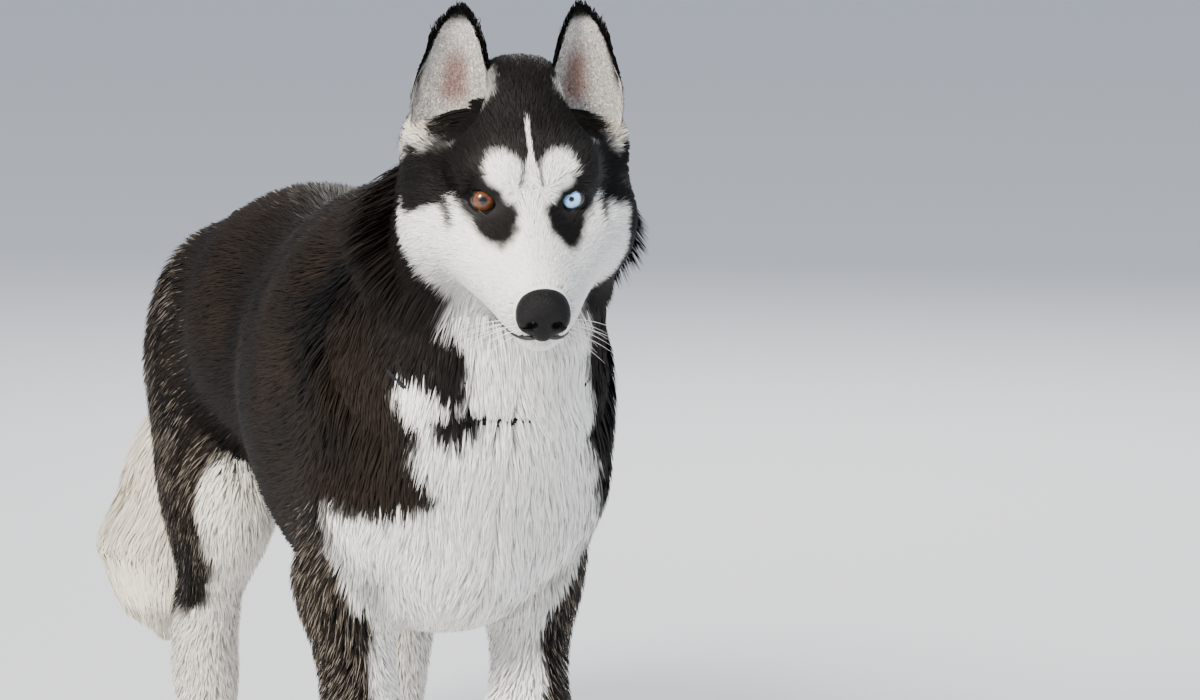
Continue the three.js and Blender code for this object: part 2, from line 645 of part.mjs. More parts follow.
// Tail in three lengths, each overlapping the next with its locks.
const BEHIND = block([0, 483, 400], [400, 300, 700], [0, 0, 0]);
const tailBlock = (top, low) => block([0, 460, (top + low) / 2], [400, 400, top - low], [0, 0, 0]);
const tailRoot = join(take(BEHIND, tailBlock(590, 430)), ...brushLocks.root.strands);
const tailMiddle = join(take(BEHIND, tailBlock(430, 290)), ...brushLocks.middle.strands)
  .subtract(tailBlock(590, 430).grown);
const tailTip = join(take(BEHIND, tailBlock(290, 120)), ...brushLocks.tip.strands)
  .subtract(tailBlock(590, 290).grown);
add("tail_root", tailRoot, BLACK);
add("tail_middle", cutRooms(tailMiddle, brushLocks.root), CREAM);
add("tail_tip", cutRooms(tailTip, brushLocks.root, brushLocks.middle), CREAM);
const allBrush = [brushLocks.root, brushLocks.middle, brushLocks.tip];

// Legs. Each half block keeps a cut on its own side of the dog.
for (const [side, s, hind] of [["left", 1, HINDPAW_LEFT], ["right", -1, HINDPAW_RIGHT]]) {
  const half = block([s * 251, 0, 300], [500, 1200, 800], [0, 0, 0]);
  const level = (y, low, top, long = 190) => block([s * 100, y, (low + top) / 2], [200, long, top - low], [0, 0, 0]);
  const sloped = (y, z, lean, size) => block([s * size[0] * 0.36, y, z], size, [0, s * lean, 0]);
  const breeches = breechLocks(s, hind);
  add(`forepaw_${side}`, take(half, level(FOREPAW[1], -20, 66)), WHITE);
  add(`forearm_${side}`, take(half, level(-190, 66, 248)), WHITE);
  add(`upper_foreleg_${side}`,
    cutRooms(take(half, level(-190, 248, 500, 178), sloped(-190, 180, -28, [420, 400, 300])), bibLocks), WHITE);
  add(`hindpaw_${side}`, take(half, level(hind[1], -20, 66)), WHITE);
  add(`rear_pastern_${side}`, take(half, level(hind[1] + 10, 66, 168)), WHITE);
  const shank = take(half, level(hind[1] - 10, 168, 268, 260));
  add(`lower_thigh_${side}`, cutRooms(shank, breeches, ...allBrush), WHITE);
  const thigh = take(half, level(210, 268, 620, 300), sloped(210, 250, -44, [520, 400, 340]));
  add(`thigh_${side}`, cutRooms(join(thigh, ...breeches.strands), ...allBrush), BLACK);
}

// Trunk in three lengths.
const chest = take(block([0, -395, 400], [500, 600, 700], [0, 0, 0]));
const rump = take(block([0, 340, 400], [500, 400, 700], [0, 0, 0]));
const hindRooms = [breechLocks(1, HINDPAW_LEFT), breechLocks(-1, HINDPAW_RIGHT)];
const bib = join(chest, ...bibLocks.strands).subtract(AROUND_NECK.grown);
add("chest", cutRooms(bib, ruffLocks, cheekLocks), BLACK);
add("rump", cutRooms(rump, ...hindRooms, ...allBrush), BLACK);
add("barrel", cutRooms(rest, ...hindRooms), BLACK);

// The origin is the middle of the whole dog, at the level of its soles.
const extent = new THREE.Box3().setFromObject(dog);
const middle = extent.getCenter(new THREE.Vector3());
dog.children.forEach((mesh) => mesh.position.set(-middle.x, -middle.y, -extent.min.z));
export default dog;
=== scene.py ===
"""A Siberian husky, life size, standing still with its head turned towards its right.

Sizes are worked out in millimetres in the dog's own frame: -Y is ahead, X is to its left, Z is up.
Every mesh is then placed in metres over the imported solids.
"""

import math

import bpy
import numpy as np
from mathutils import Matrix, Vector


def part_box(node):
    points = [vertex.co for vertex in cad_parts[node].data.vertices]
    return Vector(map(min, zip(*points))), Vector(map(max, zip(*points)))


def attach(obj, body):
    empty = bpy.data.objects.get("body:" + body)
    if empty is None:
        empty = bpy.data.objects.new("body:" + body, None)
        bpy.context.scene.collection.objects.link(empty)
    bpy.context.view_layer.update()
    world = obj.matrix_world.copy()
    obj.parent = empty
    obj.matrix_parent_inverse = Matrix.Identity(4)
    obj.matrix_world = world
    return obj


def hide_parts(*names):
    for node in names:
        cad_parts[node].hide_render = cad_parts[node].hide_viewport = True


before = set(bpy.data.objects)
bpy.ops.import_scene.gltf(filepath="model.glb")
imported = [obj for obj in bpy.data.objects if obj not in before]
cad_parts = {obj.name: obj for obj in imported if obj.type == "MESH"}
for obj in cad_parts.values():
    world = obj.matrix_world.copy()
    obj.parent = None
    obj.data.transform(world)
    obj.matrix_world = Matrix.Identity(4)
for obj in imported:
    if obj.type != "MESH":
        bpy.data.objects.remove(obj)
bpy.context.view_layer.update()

# The middle between the eyes, and how far the head is turned and bowed.
EYE_MID = np.array([-9.0, -425.0, 640.0])
HEAD_TURN = math.radians(-11.5)
HEAD_BOW = math.radians(17.5)
EYE_APART = 34.0
EYE_BACK = 5.5
EYEBALL = 11.2
# Left is 1 and right is -1.
PAIR = (1, -1)
FOREPAW = (70.0, -216.0)
HINDPAWS = {1: (66.0, 128.0), -1: (-70.0, 226.0)}
# Each toe's place in a paw, outwards and ahead.
TOES = ((-9.5, 30), (9.5, 30), (-24, 18), (24, 18))
PAW_JOIN = 7.0
LOIN_JOIN = 14.0
# The share of the tufts that grow.
FULLNESS = 1.0


# The form: signed distances of many points, below zero inside the tips of the coat.

def ramp(value, low, high):
    """Rises smoothly from 0 at low to 1 at high."""
    t = np.clip((value - low) / (high - low), 0.0, 1.0)
    return t * t * (3.0 - 2.0 * t)


def ball(centre, radii, lean=0.0):
    """An egg shape, its length leant up at the front by some degrees."""
    c, s = math.cos(math.radians(lean)), math.sin(math.radians(lean))
    rx, ry, rz = radii

    def field(p):
        d = p - np.array(centre, dtype=p.dtype)
        dx, dy, dz = d[:, 0], c * d[:, 1] + s * d[:, 2], -s * d[:, 1] + c * d[:, 2]
        near = np.sqrt((dx / rx) ** 2 + (dy / ry) ** 2 + (dz / rz) ** 2)
        slope = np.sqrt((dx / rx**2) ** 2 + (dy / ry**2) ** 2 + (dz / rz**2) ** 2)
        return np.where(slope < 1e-9, -min(radii), near * (near - 1.0) / np.maximum(slope, 1e-9))
    return field


def bar(start, end, radius_start, radius_end, slim=1.0):
    """A tapering bar with round ends, slimmer from side to side where slim is under 1."""
    a = np.array(start, dtype=float)
    line = np.array(end, dtype=float) - a
    long = line @ line

    def field(p):
        d = p - a.astype(p.dtype)
        t = np.clip((d @ line.astype(p.dtype)) / p.dtype.type(long), 0.0, 1.0)
        off = d - t[:, None] * line.astype(p.dtype)
        away = np.sqrt((off[:, 0] / slim) ** 2 + off[:, 1] ** 2 + off[:, 2] ** 2)
        return (away - radius_start - (radius_end - radius_start) * t) * min(1.0, slim)
    return field


def soft_min(d, e, k):
    """The nearer of two forms, with the corner between them rounded over about k."""
    h = np.maximum(k - np.abs(d - e), 0.0) / k
    return np.minimum(d, e) - h * h * k / 4.0


def blend(k, *shapes):
    def field(p):
        d = shapes[0](p)
        for shape in shapes[1:]:
            d = soft_min(d, shape(p), k)
        return d
    return field


def turn(axis, angle):
    return np.array(Matrix.Rotation(angle, 3, axis))


HEAD = turn("Z", HEAD_TURN) @ turn("X", HEAD_BOW)


def from_head(p):
    """From the head's frame, whose middle is between the eyes, to the dog's."""
    return np.asarray(p, dtype=float) @ HEAD.T + EYE_MID


def to_head(p):
    return (p - EYE_MID.astype(p.dtype)) @ HEAD.astype(p.dtype)


NAPE = from_head([0, 92, -24])
NECK_BASE = np.array([-3.0, -262.0, 502.0])
trunk_coat = blend(
    46.0,
    ball([0, -120, 436], [126, 170, 166]),
    bar([0, -110, 454], [0, 130, 476], 148, 114, 0.85),
    bar([0, 130, 472], [0, 238, 466], 114, 104, 0.98),
    ball([0, -120, 552], [64, 130, 66]),
    ball([0, -262, 432], [88, 74, 116]),
    ball([0, -200, 356], [80, 96, 82]),
    *[bar([s * 64, -150, 520], [s * 72, -242, 405], 58, 54, 0.82) for s in PAIR],
    bar(NAPE, NECK_BASE, 82, 116, 1.04),
)


def paw_coat(x, y, long):
    toes = [ball([x + aside, y - ahead, 16], [11.5, 19, 17.5], 8)
            for aside, ahead in TOES]
    return blend(PAW_JOIN, ball([x, y + 6, 24], [28, long, 26]), *toes, ball([x, y + 12, 10], [24, 26, 14]))


def fore_coat(s):
    x, y = s * FOREPAW[0], FOREPAW[1]
    leg = blend(
        26.0,
        bar([s * 74, -238, 390], [s * 78, -178, 315], 50, 48, 0.84),
        bar([s * 78, -182, 315], [x, -198, 190], 45, 34, 0.86),
        bar([x, -198, 190], [x, -198, 130], 34, 28, 0.92),
        bar([x, -198, 130], [x, y + 8, 40], 27, 24, 0.95),
    )
    return blend(PAW_JOIN, leg, paw_coat(x, y, 33))


def hind_coat(s):
    x, y = HINDPAWS[s]
    step = y - HINDPAWS[-1][1]
    hip = np.array([s * 60.0, 226, 486])
    knee = np.array([s * 74.0, 182 + 0.4 * step, 338])
    shank = np.array([(s * 76 + x) / 2, y + 8, 208])
    hock = np.array([x, y + 20, 160.0])
    leg = blend(
        30.0,
        bar(hip + [0, 10, -30], knee, 96, 70, 0.6),
        bar(hip + [s * 6, 28, -70], knee + [0, 58, 10], 64, 50, 0.7),
        bar(knee, shank, 66, 32, 0.66),
        bar(shank + [0, 4, 0], hock, 30, 27, 0.76),
        bar(hock, [x, y + 4, 42], 25, 22, 0.88),
    )
    return blend(PAW_JOIN, leg, paw_coat(x, y, 35))


TAIL_PATH = np.array([[0, 308, 532], [-4, 358, 482], [-18, 386, 400],
                      [-44, 389, 312], [-75, 386, 243], [-66, 380, 190]], dtype=float)
TAIL_RADII = (30, 36, 45, 50, 48, 20)
tail_coat = blend(30.0, *[bar(TAIL_PATH[i], TAIL_PATH[i + 1], TAIL_RADII[i], TAIL_RADII[i + 1])
                          for i in range(5)])
bare_head = blend(
    16.0,
    ball([0, 68, 22], [72, 62, 68]),
    ball([0, 20, 16], [56, 32, 36]),
    bar([0, -4, -14], [0, -92, -42], 23, 16, 1.15),
    bar([0, 6, -40], [0, -82, -54], 38, 25, 1.02),
    bar([0, 24, -72], [0, -80, -72], 32, 14, 1.05),
    *[ball([s * 46, 56, -42], [47, 50, 58]) for s in PAIR],
    *[ball([s * 56, 84, 12], [34, 36, 48]) for s in PAIR],
    *[bar([s * 44, 46, -32], [s * 14, -66, -52], 42, 19) for s in PAIR],
    *[bar([s * 17, 0, 17], [s * 37, 9, 18], 10, 11) for s in PAIR],
)


# How deep the coat is over each part: the skin lies that far inside the tips.
def trunk_depth(p):
    return 14.0 - 3.0 * ramp(-p[:, 2], -360, -300)


def leg_depth(p):
    return 3.0 + 3.5 * ramp(p[:, 2], 40, 160) + 4.5 * ramp(p[:, 2], 230, 380)


def tail_depth(p):
    return 9.0 + 6.0 * ramp(-p[:, 2], -520, -450)


def head_depth(p):
    h = to_head(p)
    back = ramp(h[:, 1], -10, 60)
    low = ramp(-h[:, 2], 30, 90) * ramp(h[:, 1], -30, 30)
    return 2.4 + 3.6 * back + 3.0 * np.maximum(low, ramp(h[:, 1], 60, 100))


def head_coat(p):
    """The head, hollowed in front of each ear."""
    h = to_head(p)
    form = bare_head(h)
    for s in PAIR:
        form = -soft_min(-form, ball([s * 58, 68, 60], [33, 38, 33])(h), 16.0)
    return form


TRUNK, FORE_LEFT, FORE_RIGHT, HIND_LEFT, HIND_RIGHT, TAIL, FACE = range(7)
FORMS = (
    (trunk_coat, trunk_depth, ((-170, 170), (-520, 400), (190, 760))),
    (fore_coat(1), leg_depth, ((0, 170), (-330, -80), (-30, 470))),
    (fore_coat(-1), leg_depth, ((-170, 0), (-330, -80), (-30, 470))),
    (hind_coat(1), leg_depth, ((-20, 190), (20, 420), (-30, 620))),
    (hind_coat(-1), leg_depth, ((-190, 20), (20, 420), (-30, 620))),
    (tail_coat, tail_depth, ((-170, 90), (230, 480), (110, 620))),
    (head_coat, head_depth, ((-180, 150), (-620, -230), (470, 780))),
)
FAR = 60.0
SHARE_FADE = 7.0


def survey(p):
    """Distance of points from the tips of the coat, the coat's depth, and the shares of the forms."""
    whole = np.full(len(p), FAR, dtype=p.dtype)
    shares = np.zeros((len(p), len(FORMS)), dtype=np.float32)
    depth = np.zeros(len(p), dtype=p.dtype)
    for i, (form, deep, limits) in enumerate(FORMS):
        near = np.ones(len(p), dtype=bool)
        for axis, (low, high) in enumerate(limits):
            near &= (p[:, axis] > low) & (p[:, axis] < high)
        if near.any():
            inside = p[near]
            distance = np.minimum(form(inside), FAR)
            whole[near] = soft_min(whole[near], distance, LOIN_JOIN)
            shares[near, i] = np.exp(-np.clip(distance, -50.0, FAR) / SHARE_FADE)
            depth[near] += shares[near, i] * deep(inside)
    total = np.maximum(shares.sum(axis=1), 1e-12)
    return whole, depth / total, shares / total[:, None]


def coat(p):
    return survey(p)[0]


def skin(p):
    whole, depth, _ = survey(p)
    return whole + depth


# Smooth random values over space.

def cell_key(cells):
    """A whole number for each cell of a grid."""
    return cells[:, 0] * 73856093 ^ cells[:, 1] * 19349663 ^ cells[:, 2] * 83492791


def noise(p, size, seed):
    q = p / size + seed * 17.31
    base = np.floor(q).astype(np.int64)
    f = q - base
    f = f * f * (3.0 - 2.0 * f)
    total = np.zeros(len(p))
    for dx in (0, 1):
        for dy in (0, 1):
            for dz in (0, 1):
                n = cell_key(base + (dx, dy, dz))
                n = (n ^ (n >> 13)) * 1274126177 & 0x7FFFFFFF
                value = (n % 65536) / 32768.0 - 1.0
                weight = (f[:, 0] if dx else 1 - f[:, 0]) * (f[:, 1] if dy else 1 - f[:, 1])
                total += value * weight * (f[:, 2] if dz else 1 - f[:, 2])
    return total


def wander(p, size, first_seed):
    """A smooth random step along each axis."""
    return np.stack([noise(p, size, first_seed + k) for k in range(3)], axis=1)


# Markings, as shares of white from 0 to 1.

def spot(h, centre, radii, lean=0.0, edge=0.25):
    """1 inside an oval of the face, 0 outside it. Its long axis leans outwards and up."""
    dx, dz = np.abs(h[:, 0]) - centre[0], h[:, 2] - centre[1]
    c, s = math.cos(math.radians(lean)), math.sin(math.radians(lean))
    across, along = c * dx - s * dz, s * dx + c * dz
    near = np.sqrt((across / radii[0]) ** 2 + (along / radii[1]) ** 2)
    return 1.0 - ramp(near, 1.0 - edge, 1.0 + edge)


def spots(h, ovals):
    """1 inside any of several ovals."""
    return np.maximum.reduce([spot(h, *oval) for oval in ovals])


def share_below(value, limit, soft):
    return 1.0 - ramp(value, limit - soft, limit + soft)


def by_side(x, left_value, right_value, places, values):
    """Reads a table for the dog's left or right, whichever each point is on."""
    return np.where(x > 0, np.interp(left_value, places[1], values[1]),
                    np.interp(right_value, places[-1], values[-1]))


# Ovals of the face, mirrored: centre outwards and up, radii, lean and softness.
BROWS = (((21, 27), (13.5, 13.5), 20), ((15, 12), (7.5, 12), -14))
EYE_PATCHES = (((34.5, -1.5), (17.5, 13), 0), ((24, -9), (8.5, 17.5), -50), ((31, -11), (12.5, 11), 0, 0.3))
BROW_LINE = ((6.8, 30), (1.8, 15), -4, 0.4)
DARK_STREAK = ((58.5, -8), (3.2, 13), -6, 0.4)
PALE_STREAK = ((52.5, -8), (2.6, 11), -8, 0.4)
# Where the white of the cheek ends behind, by height, on the dog's left and right.
CHEEK_UP = {s: (-125, -110, -74, -46, -28, -10) for s in PAIR}
CHEEK_BACK = {1: (6, 12, 26, 24, 22, 40), -1: (4, 9, 26, 46, 56, 56)}
# The front edge of the pale fur in front of the ears, by the distance from the crown's middle.
EAR_ASIDE = (20, 38, 50, 66, 78, 86, 92)
EAR_FRONT = (40, 34, 37, 51, 70, 85, 100)
# The lowest that it reaches, by the same distance.
EAR_LOW = (70, 52, 28, 16, 8, 3, 0)


def ear_pale(h):
    """The pale fur that runs down in front of each ear."""
    aside = np.abs(h[:, 0])
    front = np.interp(aside, EAR_ASIDE, EAR_FRONT)
    share = ramp(h[:, 1] - front, -3, 4) * ramp(aside, 17, 24) * (1 - ramp(h[:, 1], 84, 92))
    low = np.interp(aside, EAR_ASIDE, EAR_LOW)
    return share * ramp(h[:, 2] - low, -5, 5) * ramp(84.0 - h[:, 2], -4, 4)


def face_white(p):
    exact = to_head(p)
    h = exact + 1.8 * wander(p, 8, 1)
    aside, along, up = np.abs(h[:, 0]), h[:, 1], h[:, 2]
    white = share_below(up, np.interp(aside, [40, 52, 72, 93], [-3, -6, -14, -30]), 3)
    white *= share_below(along, by_side(h[:, 0], up, up, CHEEK_UP, CHEEK_BACK), 5)
    bridge = ramp(-along, 6, 14) * ramp(13.0 + 0.35 * (-along) - aside, -2, 4)
    white = np.maximum(white, bridge * ramp(-up, -30, -18))
    half = 0.9 + 5.5 * ramp(-up, -40, -26)
    blaze = share_below(np.abs(exact[:, 0] + 1.5 * ramp(exact[:, 2], 35, 60)), half + 0.5, 0.9)
    white = np.maximum(white, blaze * ramp(-exact[:, 2], -61, -55) * ramp(-along, -34, -22))
    of_face = ramp(-along, -46, -34)
    white = np.maximum(white, spots(h, BROWS) * of_face)
    white *= 1.0 - 0.5 * spot(h, *BROW_LINE)
    white *= 1.0 - spots(h, EYE_PATCHES) * ramp(along, -54, -46)
    white *= 1.0 - 0.9 * spot(h, *DARK_STREAK)
    white = np.maximum(white, 0.8 * of_face * spot(h, *PALE_STREAK))
    return np.maximum(white, ear_pale(h))


# The half width of the white on chest and throat by height, on the dog's left and right.
BIB_UP = {1: (360, 385, 405, 424, 440, 495, 520, 560, 600),
          -1: (384, 396, 404, 424, 440, 452, 462, 474, 481, 494, 520, 560, 600)}
BIB_HALF = {1: (116, 96, 84, 78, 68, 70, 62, 50, 50),
            -1: (112, 58, 42, 54, 64, 74, 84, 84, 34, 34, 42, 48, 50)}
# The front edge of the black on the outside of a hind leg, by height.
THIGH_UP = (215, 224, 237, 274, 306, 336, 356, 372, 401, 438, 460)
THIGH_FRONT = (240, 216, 190, 158, 143, 136, 132, 126, 84, 52, 20)
# Where the black stripe on the outside of a foreleg begins, by height, measured outwards and back.
STRIPE_UP = (120, 200, 246, 269, 291, 311, 331, 356, 392)
STRIPE_ASIDE = (84, 86, 89, 93, 98, 106, 111, 113, 113)


def leg_shares(shares):
    """The shares of the forelegs and of the hind legs."""
    return shares[:, FORE_LEFT] + shares[:, FORE_RIGHT], shares[:, HIND_LEFT] + shares[:, HIND_RIGHT]


def body_white(p, shares):
    q = p + 5.0 * wander(p, 24, 4)
    x, y, z = q[:, 0], q[:, 1], q[:, 2]
    aside = np.abs(x)
    ragged = z + 20.0 * noise(p, 17, 9) + 0.6 * (aside - 80.0)
    front = ramp(-y - 0.85 * np.maximum(z - 470, 0), 232, 256)
    slant = z - 0.7 * np.clip(aside - 36.0, 0.0, 30.0) * ramp(z, 432, 470)
    bib = front * share_below(aside, by_side(x, z, slant, BIB_UP, BIB_HALF), 5)
    tuft = share_below(np.hypot((x + 41) / 16, (z - 464) / 17), 1.0, 0.25)
    bib *= 1.0 - tuft * front
    belly = ramp(-z, -352, -336) * share_below(aside, 69, 7)
    white = np.maximum(bib, belly)
    fore, hind = leg_shares(shares)
    outwards = aside + 0.5 * (y + 258)
    stripe = ramp(outwards - np.interp(z, STRIPE_UP, STRIPE_ASIDE), -3, 3) * ramp(ragged, 135, 205)
    fore_white = ramp(-z, -400, -388) * (1.0 - stripe)
    white = white * (1.0 - fore) + fore * np.maximum(fore_white, bib)
    step = np.where(x > 0, HINDPAWS[1][1] - HINDPAWS[-1][1], 0.0) * ramp(-z, -430, -160)
    ahead = share_below(y - step, np.interp(z, THIGH_UP, THIGH_FRONT), 5) * share_below(z, 446, 8)
    within = share_below(aside, 66, 7) * share_below(z, 430, 14)
    hind_white = np.maximum.reduce([share_below(ragged, 222, 14), within, ahead])
    white = white * (1.0 - hind) + hind * hind_white
    return np.maximum(white, shares[:, TAIL] * ramp(-z, -470, -430))


def markings(p, shares):
    on_head = shares[:, FACE]
    return np.clip(face_white(p) * on_head + body_white(p, shares) * (1.0 - on_head), 0.0, 1.0)


# The lie of the coat.

TAIL_END = np.array([-64.0, 379.0, 140.0])


def nearest_in_tail(p):
    return np.argmin(((p[:, None, :] - TAIL_PATH[None]) ** 2).sum(axis=2), axis=1)


def lie(p, shares, normals):
    """Which way the hair lies at each point, along the skin."""
    h = to_head(p)
    ways = np.zeros((len(FORMS), len(p), 3))
    side = np.sign(p[:, 0])
    front = ramp(-p[:, 1], 200, 270)
    neck = ramp(p[:, 2], 500, 580) * ramp(-p[:, 1], 150, 220)
    ways[TRUNK] = np.stack([side * 0.12, 1.0 - 0.9 * front, -0.32 - 0.8 * front], axis=1)
    ways[TRUNK] += neck[:, None] * np.array([0.0, 0.4, -0.9])
    low = ramp(-p[:, 2], -70, -20)
    ways[FORE_LEFT:HIND_RIGHT + 1] = np.array([0.0, 0.28, -1.0]) + low[:, None] * np.array([0.0, -1.4, 0.4])
    tail_way = np.gradient(TAIL_PATH, axis=0)
    nearest = nearest_in_tail(p)
    ways[TAIL] = tail_way[nearest] / np.linalg.norm(tail_way[nearest], axis=1)[:, None]
    to_end = TAIL_END - p
    ways[TAIL] += (ramp(-p[:, 2], -330, -210) / np.linalg.norm(to_end, axis=1))[:, None] * to_end * 1.6
    aside = np.clip(h[:, 0] / 45.0, -1.2, 1.2)
    cheek = ramp(h[:, 1], -20, 40) * ramp(-h[:, 2], 0, 40)
    crown = ramp(h[:, 2], 5, 40)
    head_way = [aside * (0.35 + 0.5 * cheek), 1.0 - 0.3 * cheek, -0.25 - 0.55 * cheek + 0.9 * crown]
    ways[FACE] = np.stack(head_way, axis=1) @ HEAD.T
    way = np.einsum("fni,nf->ni", ways, shares)
    way -= (way * normals).sum(axis=1)[:, None] * normals
    return way / np.maximum(np.linalg.norm(way, axis=1), 1e-9)[:, None]


# The skin: one closed surface found in a grid that is finer at the head.

def steps(*parts):
    """Rising values: each part is a start, an end and a step."""
    values = [np.arange(low, high, step) for low, high, step in parts]
    return np.concatenate(values).astype(np.float32)


def surface_of(field, xs, ys, zs, chunk=400000):
    """Vertices and four-sided faces of the surface where a field is zero."""
    shape = (len(xs), len(ys), len(zs))
    values = np.empty(shape, dtype=np.float32).reshape(-1)
    grid = np.stack(np.meshgrid(xs, ys, zs, indexing="ij"), axis=-1).reshape(-1, 3)
    for start in range(0, len(grid), chunk):
        values[start:start + chunk] = field(grid[start:start + chunk])
    values = values.reshape(shape)
    inside = values < 0
    corner_sum = np.zeros((shape[0] - 1, shape[1] - 1, shape[2] - 1), dtype=np.int8)
    for dx in (0, 1):
        for dy in (0, 1):
            for dz in (0, 1):
                corner_sum += inside[dx:shape[0] - 1 + dx, dy:shape[1] - 1 + dy, dz:shape[2] - 1 + dz]
    cells = np.argwhere((corner_sum > 0) & (corner_sum < 8))
    number = np.full(corner_sum.shape, -1, dtype=np.int64)
    number[tuple(cells.T)] = np.arange(len(cells))
    axes = (xs, ys, zs)
    total = np.zeros((len(cells), 3))
    count = np.zeros(len(cells))
    for axis in range(3):
        u, v = [a for a in range(3) if a != axis]
        for du in (0, 1):
            for dv in (0, 1):
                a = cells.copy()
                a[:, u] += du
                a[:, v] += dv
                b = a.copy()
                b[:, axis] += 1
                va, vb = values[tuple(a.T)], values[tuple(b.T)]
                hit = (va < 0) != (vb < 0)
                t = np.where(hit, va / np.where(hit, va - vb, 1.0), 0.0)
                point = np.stack([axes[k][a[:, k]] for k in range(3)], axis=1).astype(float)
                point[:, axis] += t * (axes[axis][b[:, axis]] - axes[axis][a[:, axis]])
                total += point * hit[:, None]
                count += hit
    vertices = total / np.maximum(count, 1)[:, None]
    faces = []
    for axis in range(3):
        u, v = (axis + 1) % 3, (axis + 2) % 3
        low = [slice(None)] * 3
        high = [slice(None)] * 3
        low[axis], high[axis] = slice(0, -1), slice(1, None)
        a, b = inside[tuple(low)], inside[tuple(high)]
        edges = np.argwhere(a != b)
        edges = edges[(edges[:, u] > 0) & (edges[:, v] > 0)
                      & (edges[:, u] < shape[u] - 1) & (edges[:, v] < shape[v] - 1)]
        going_out = a[tuple(edges.T)]
        ring = []
        for du, dv in ((-1, -1), (0, -1), (0, 0), (-1, 0)):
            cell = edges.copy()
            cell[:, u] += du
            cell[:, v] += dv
            ring.append(number[tuple(cell.T)])
        ring = np.stack(ring, axis=1)
        faces.append(np.where(going_out[:, None], ring, ring[:, ::-1]))
    return vertices, np.concatenate(faces)


def ring_faces(rings, around):
    """Four-sided faces between closed rings: a point, its neighbour, and theirs in the next ring."""
    i, j = (grid.ravel() for grid in np.meshgrid(np.arange(rings - 1), np.arange(around), indexing="ij"))
    a, b = i * around + j, i * around + (j + 1) % around
    return np.stack([a, b, b + around, a + around], axis=1)


def slope_of(field, p, step=0.6):
    out = np.empty_like(p)
    for axis in range(3):
        shift = np.zeros(3)
        shift[axis] = step
        out[:, axis] = field(p + shift) - field(p - shift)
    return out / (2 * step)


def unit(v):
    return v / np.maximum(np.linalg.norm(v, axis=1), 1e-9)[:, None]


def settle(field, p, times=2):
    """Moves points onto the surface where a field is zero."""
    for _ in range(times):
        slope = slope_of(field, p)
        p = p - slope * (field(p) / np.maximum((slope ** 2).sum(axis=1), 1e-6))[:, None]
    return p


def relax(vertices, faces, times):
    """Evens out a surface."""
    a = faces.reshape(-1)
    b = np.roll(faces, -1, axis=1).reshape(-1)
    n = len(vertices)
    count = np.bincount(a, minlength=n) + np.bincount(b, minlength=n)
    for _ in range(times):
        total = np.stack([np.bincount(a, vertices[b, k], n) + np.bincount(b, vertices[a, k], n)
                          for k in range(3)], axis=1)
        vertices = vertices + 0.5 * (total / np.maximum(count, 1)[:, None] - vertices)
    return vertices


# Placing: millimetres of the dog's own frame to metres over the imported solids.

low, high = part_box("eye_left")
SHIFT = (np.array(low) + np.array(high)) / 2 - from_head([EYE_APART, EYE_BACK, 0]) / 1000.0


def placed(p):
    return np.asarray(p) / 1000.0 + SHIFT


def make_mesh(name, vertices, faces, material, colours=None, uv=None, slot=None, normals=None):
    """A piece from points in millimetres. Its faces all have the same number of corners."""
    faces = np.asarray(faces, dtype=np.int32)
    mesh = bpy.data.meshes.new(name)
    mesh.vertices.add(len(vertices))
    mesh.vertices.foreach_set("co", placed(vertices).astype(np.float32).ravel())
    sides = faces.shape[1]
    mesh.loops.add(faces.size)
    mesh.loops.foreach_set("vertex_index", faces.ravel())
    mesh.polygons.add(len(faces))
    mesh.polygons.foreach_set("loop_start", np.arange(0, faces.size, sides, dtype=np.int32))
    mesh.polygons.foreach_set("use_smooth", np.full(len(faces), True))
    mesh.update(calc_edges=True)
    mesh.materials.append(material)
    if colours is not None:
        layer = mesh.color_attributes.new("coat_colour", "BYTE_COLOR", "POINT")
        full = np.ones((len(vertices), 4), dtype=np.float32)
        full[:, :3] = colours
        layer.data.foreach_set("color", full.ravel())
    if uv is not None:
        layer = mesh.uv_layers.new(name="OFBake")
        layer.data.foreach_set("uv", uv[faces.ravel()].astype(np.float32).ravel())
    if normals is not None:
        mesh.normals_split_custom_set_from_vertices(normals.astype(np.float32))
    piece = bpy.data.objects.new(name, mesh)
    bpy.context.scene.collection.objects.link(piece)
    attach(piece, "root")
    return piece


# Materials.

def nodes_of(name):
    material = bpy.data.materials.new(name)
    material.use_nodes = True
    nodes = material.node_tree.nodes
    return material, nodes, material.node_tree.links, nodes["Principled BSDF"]


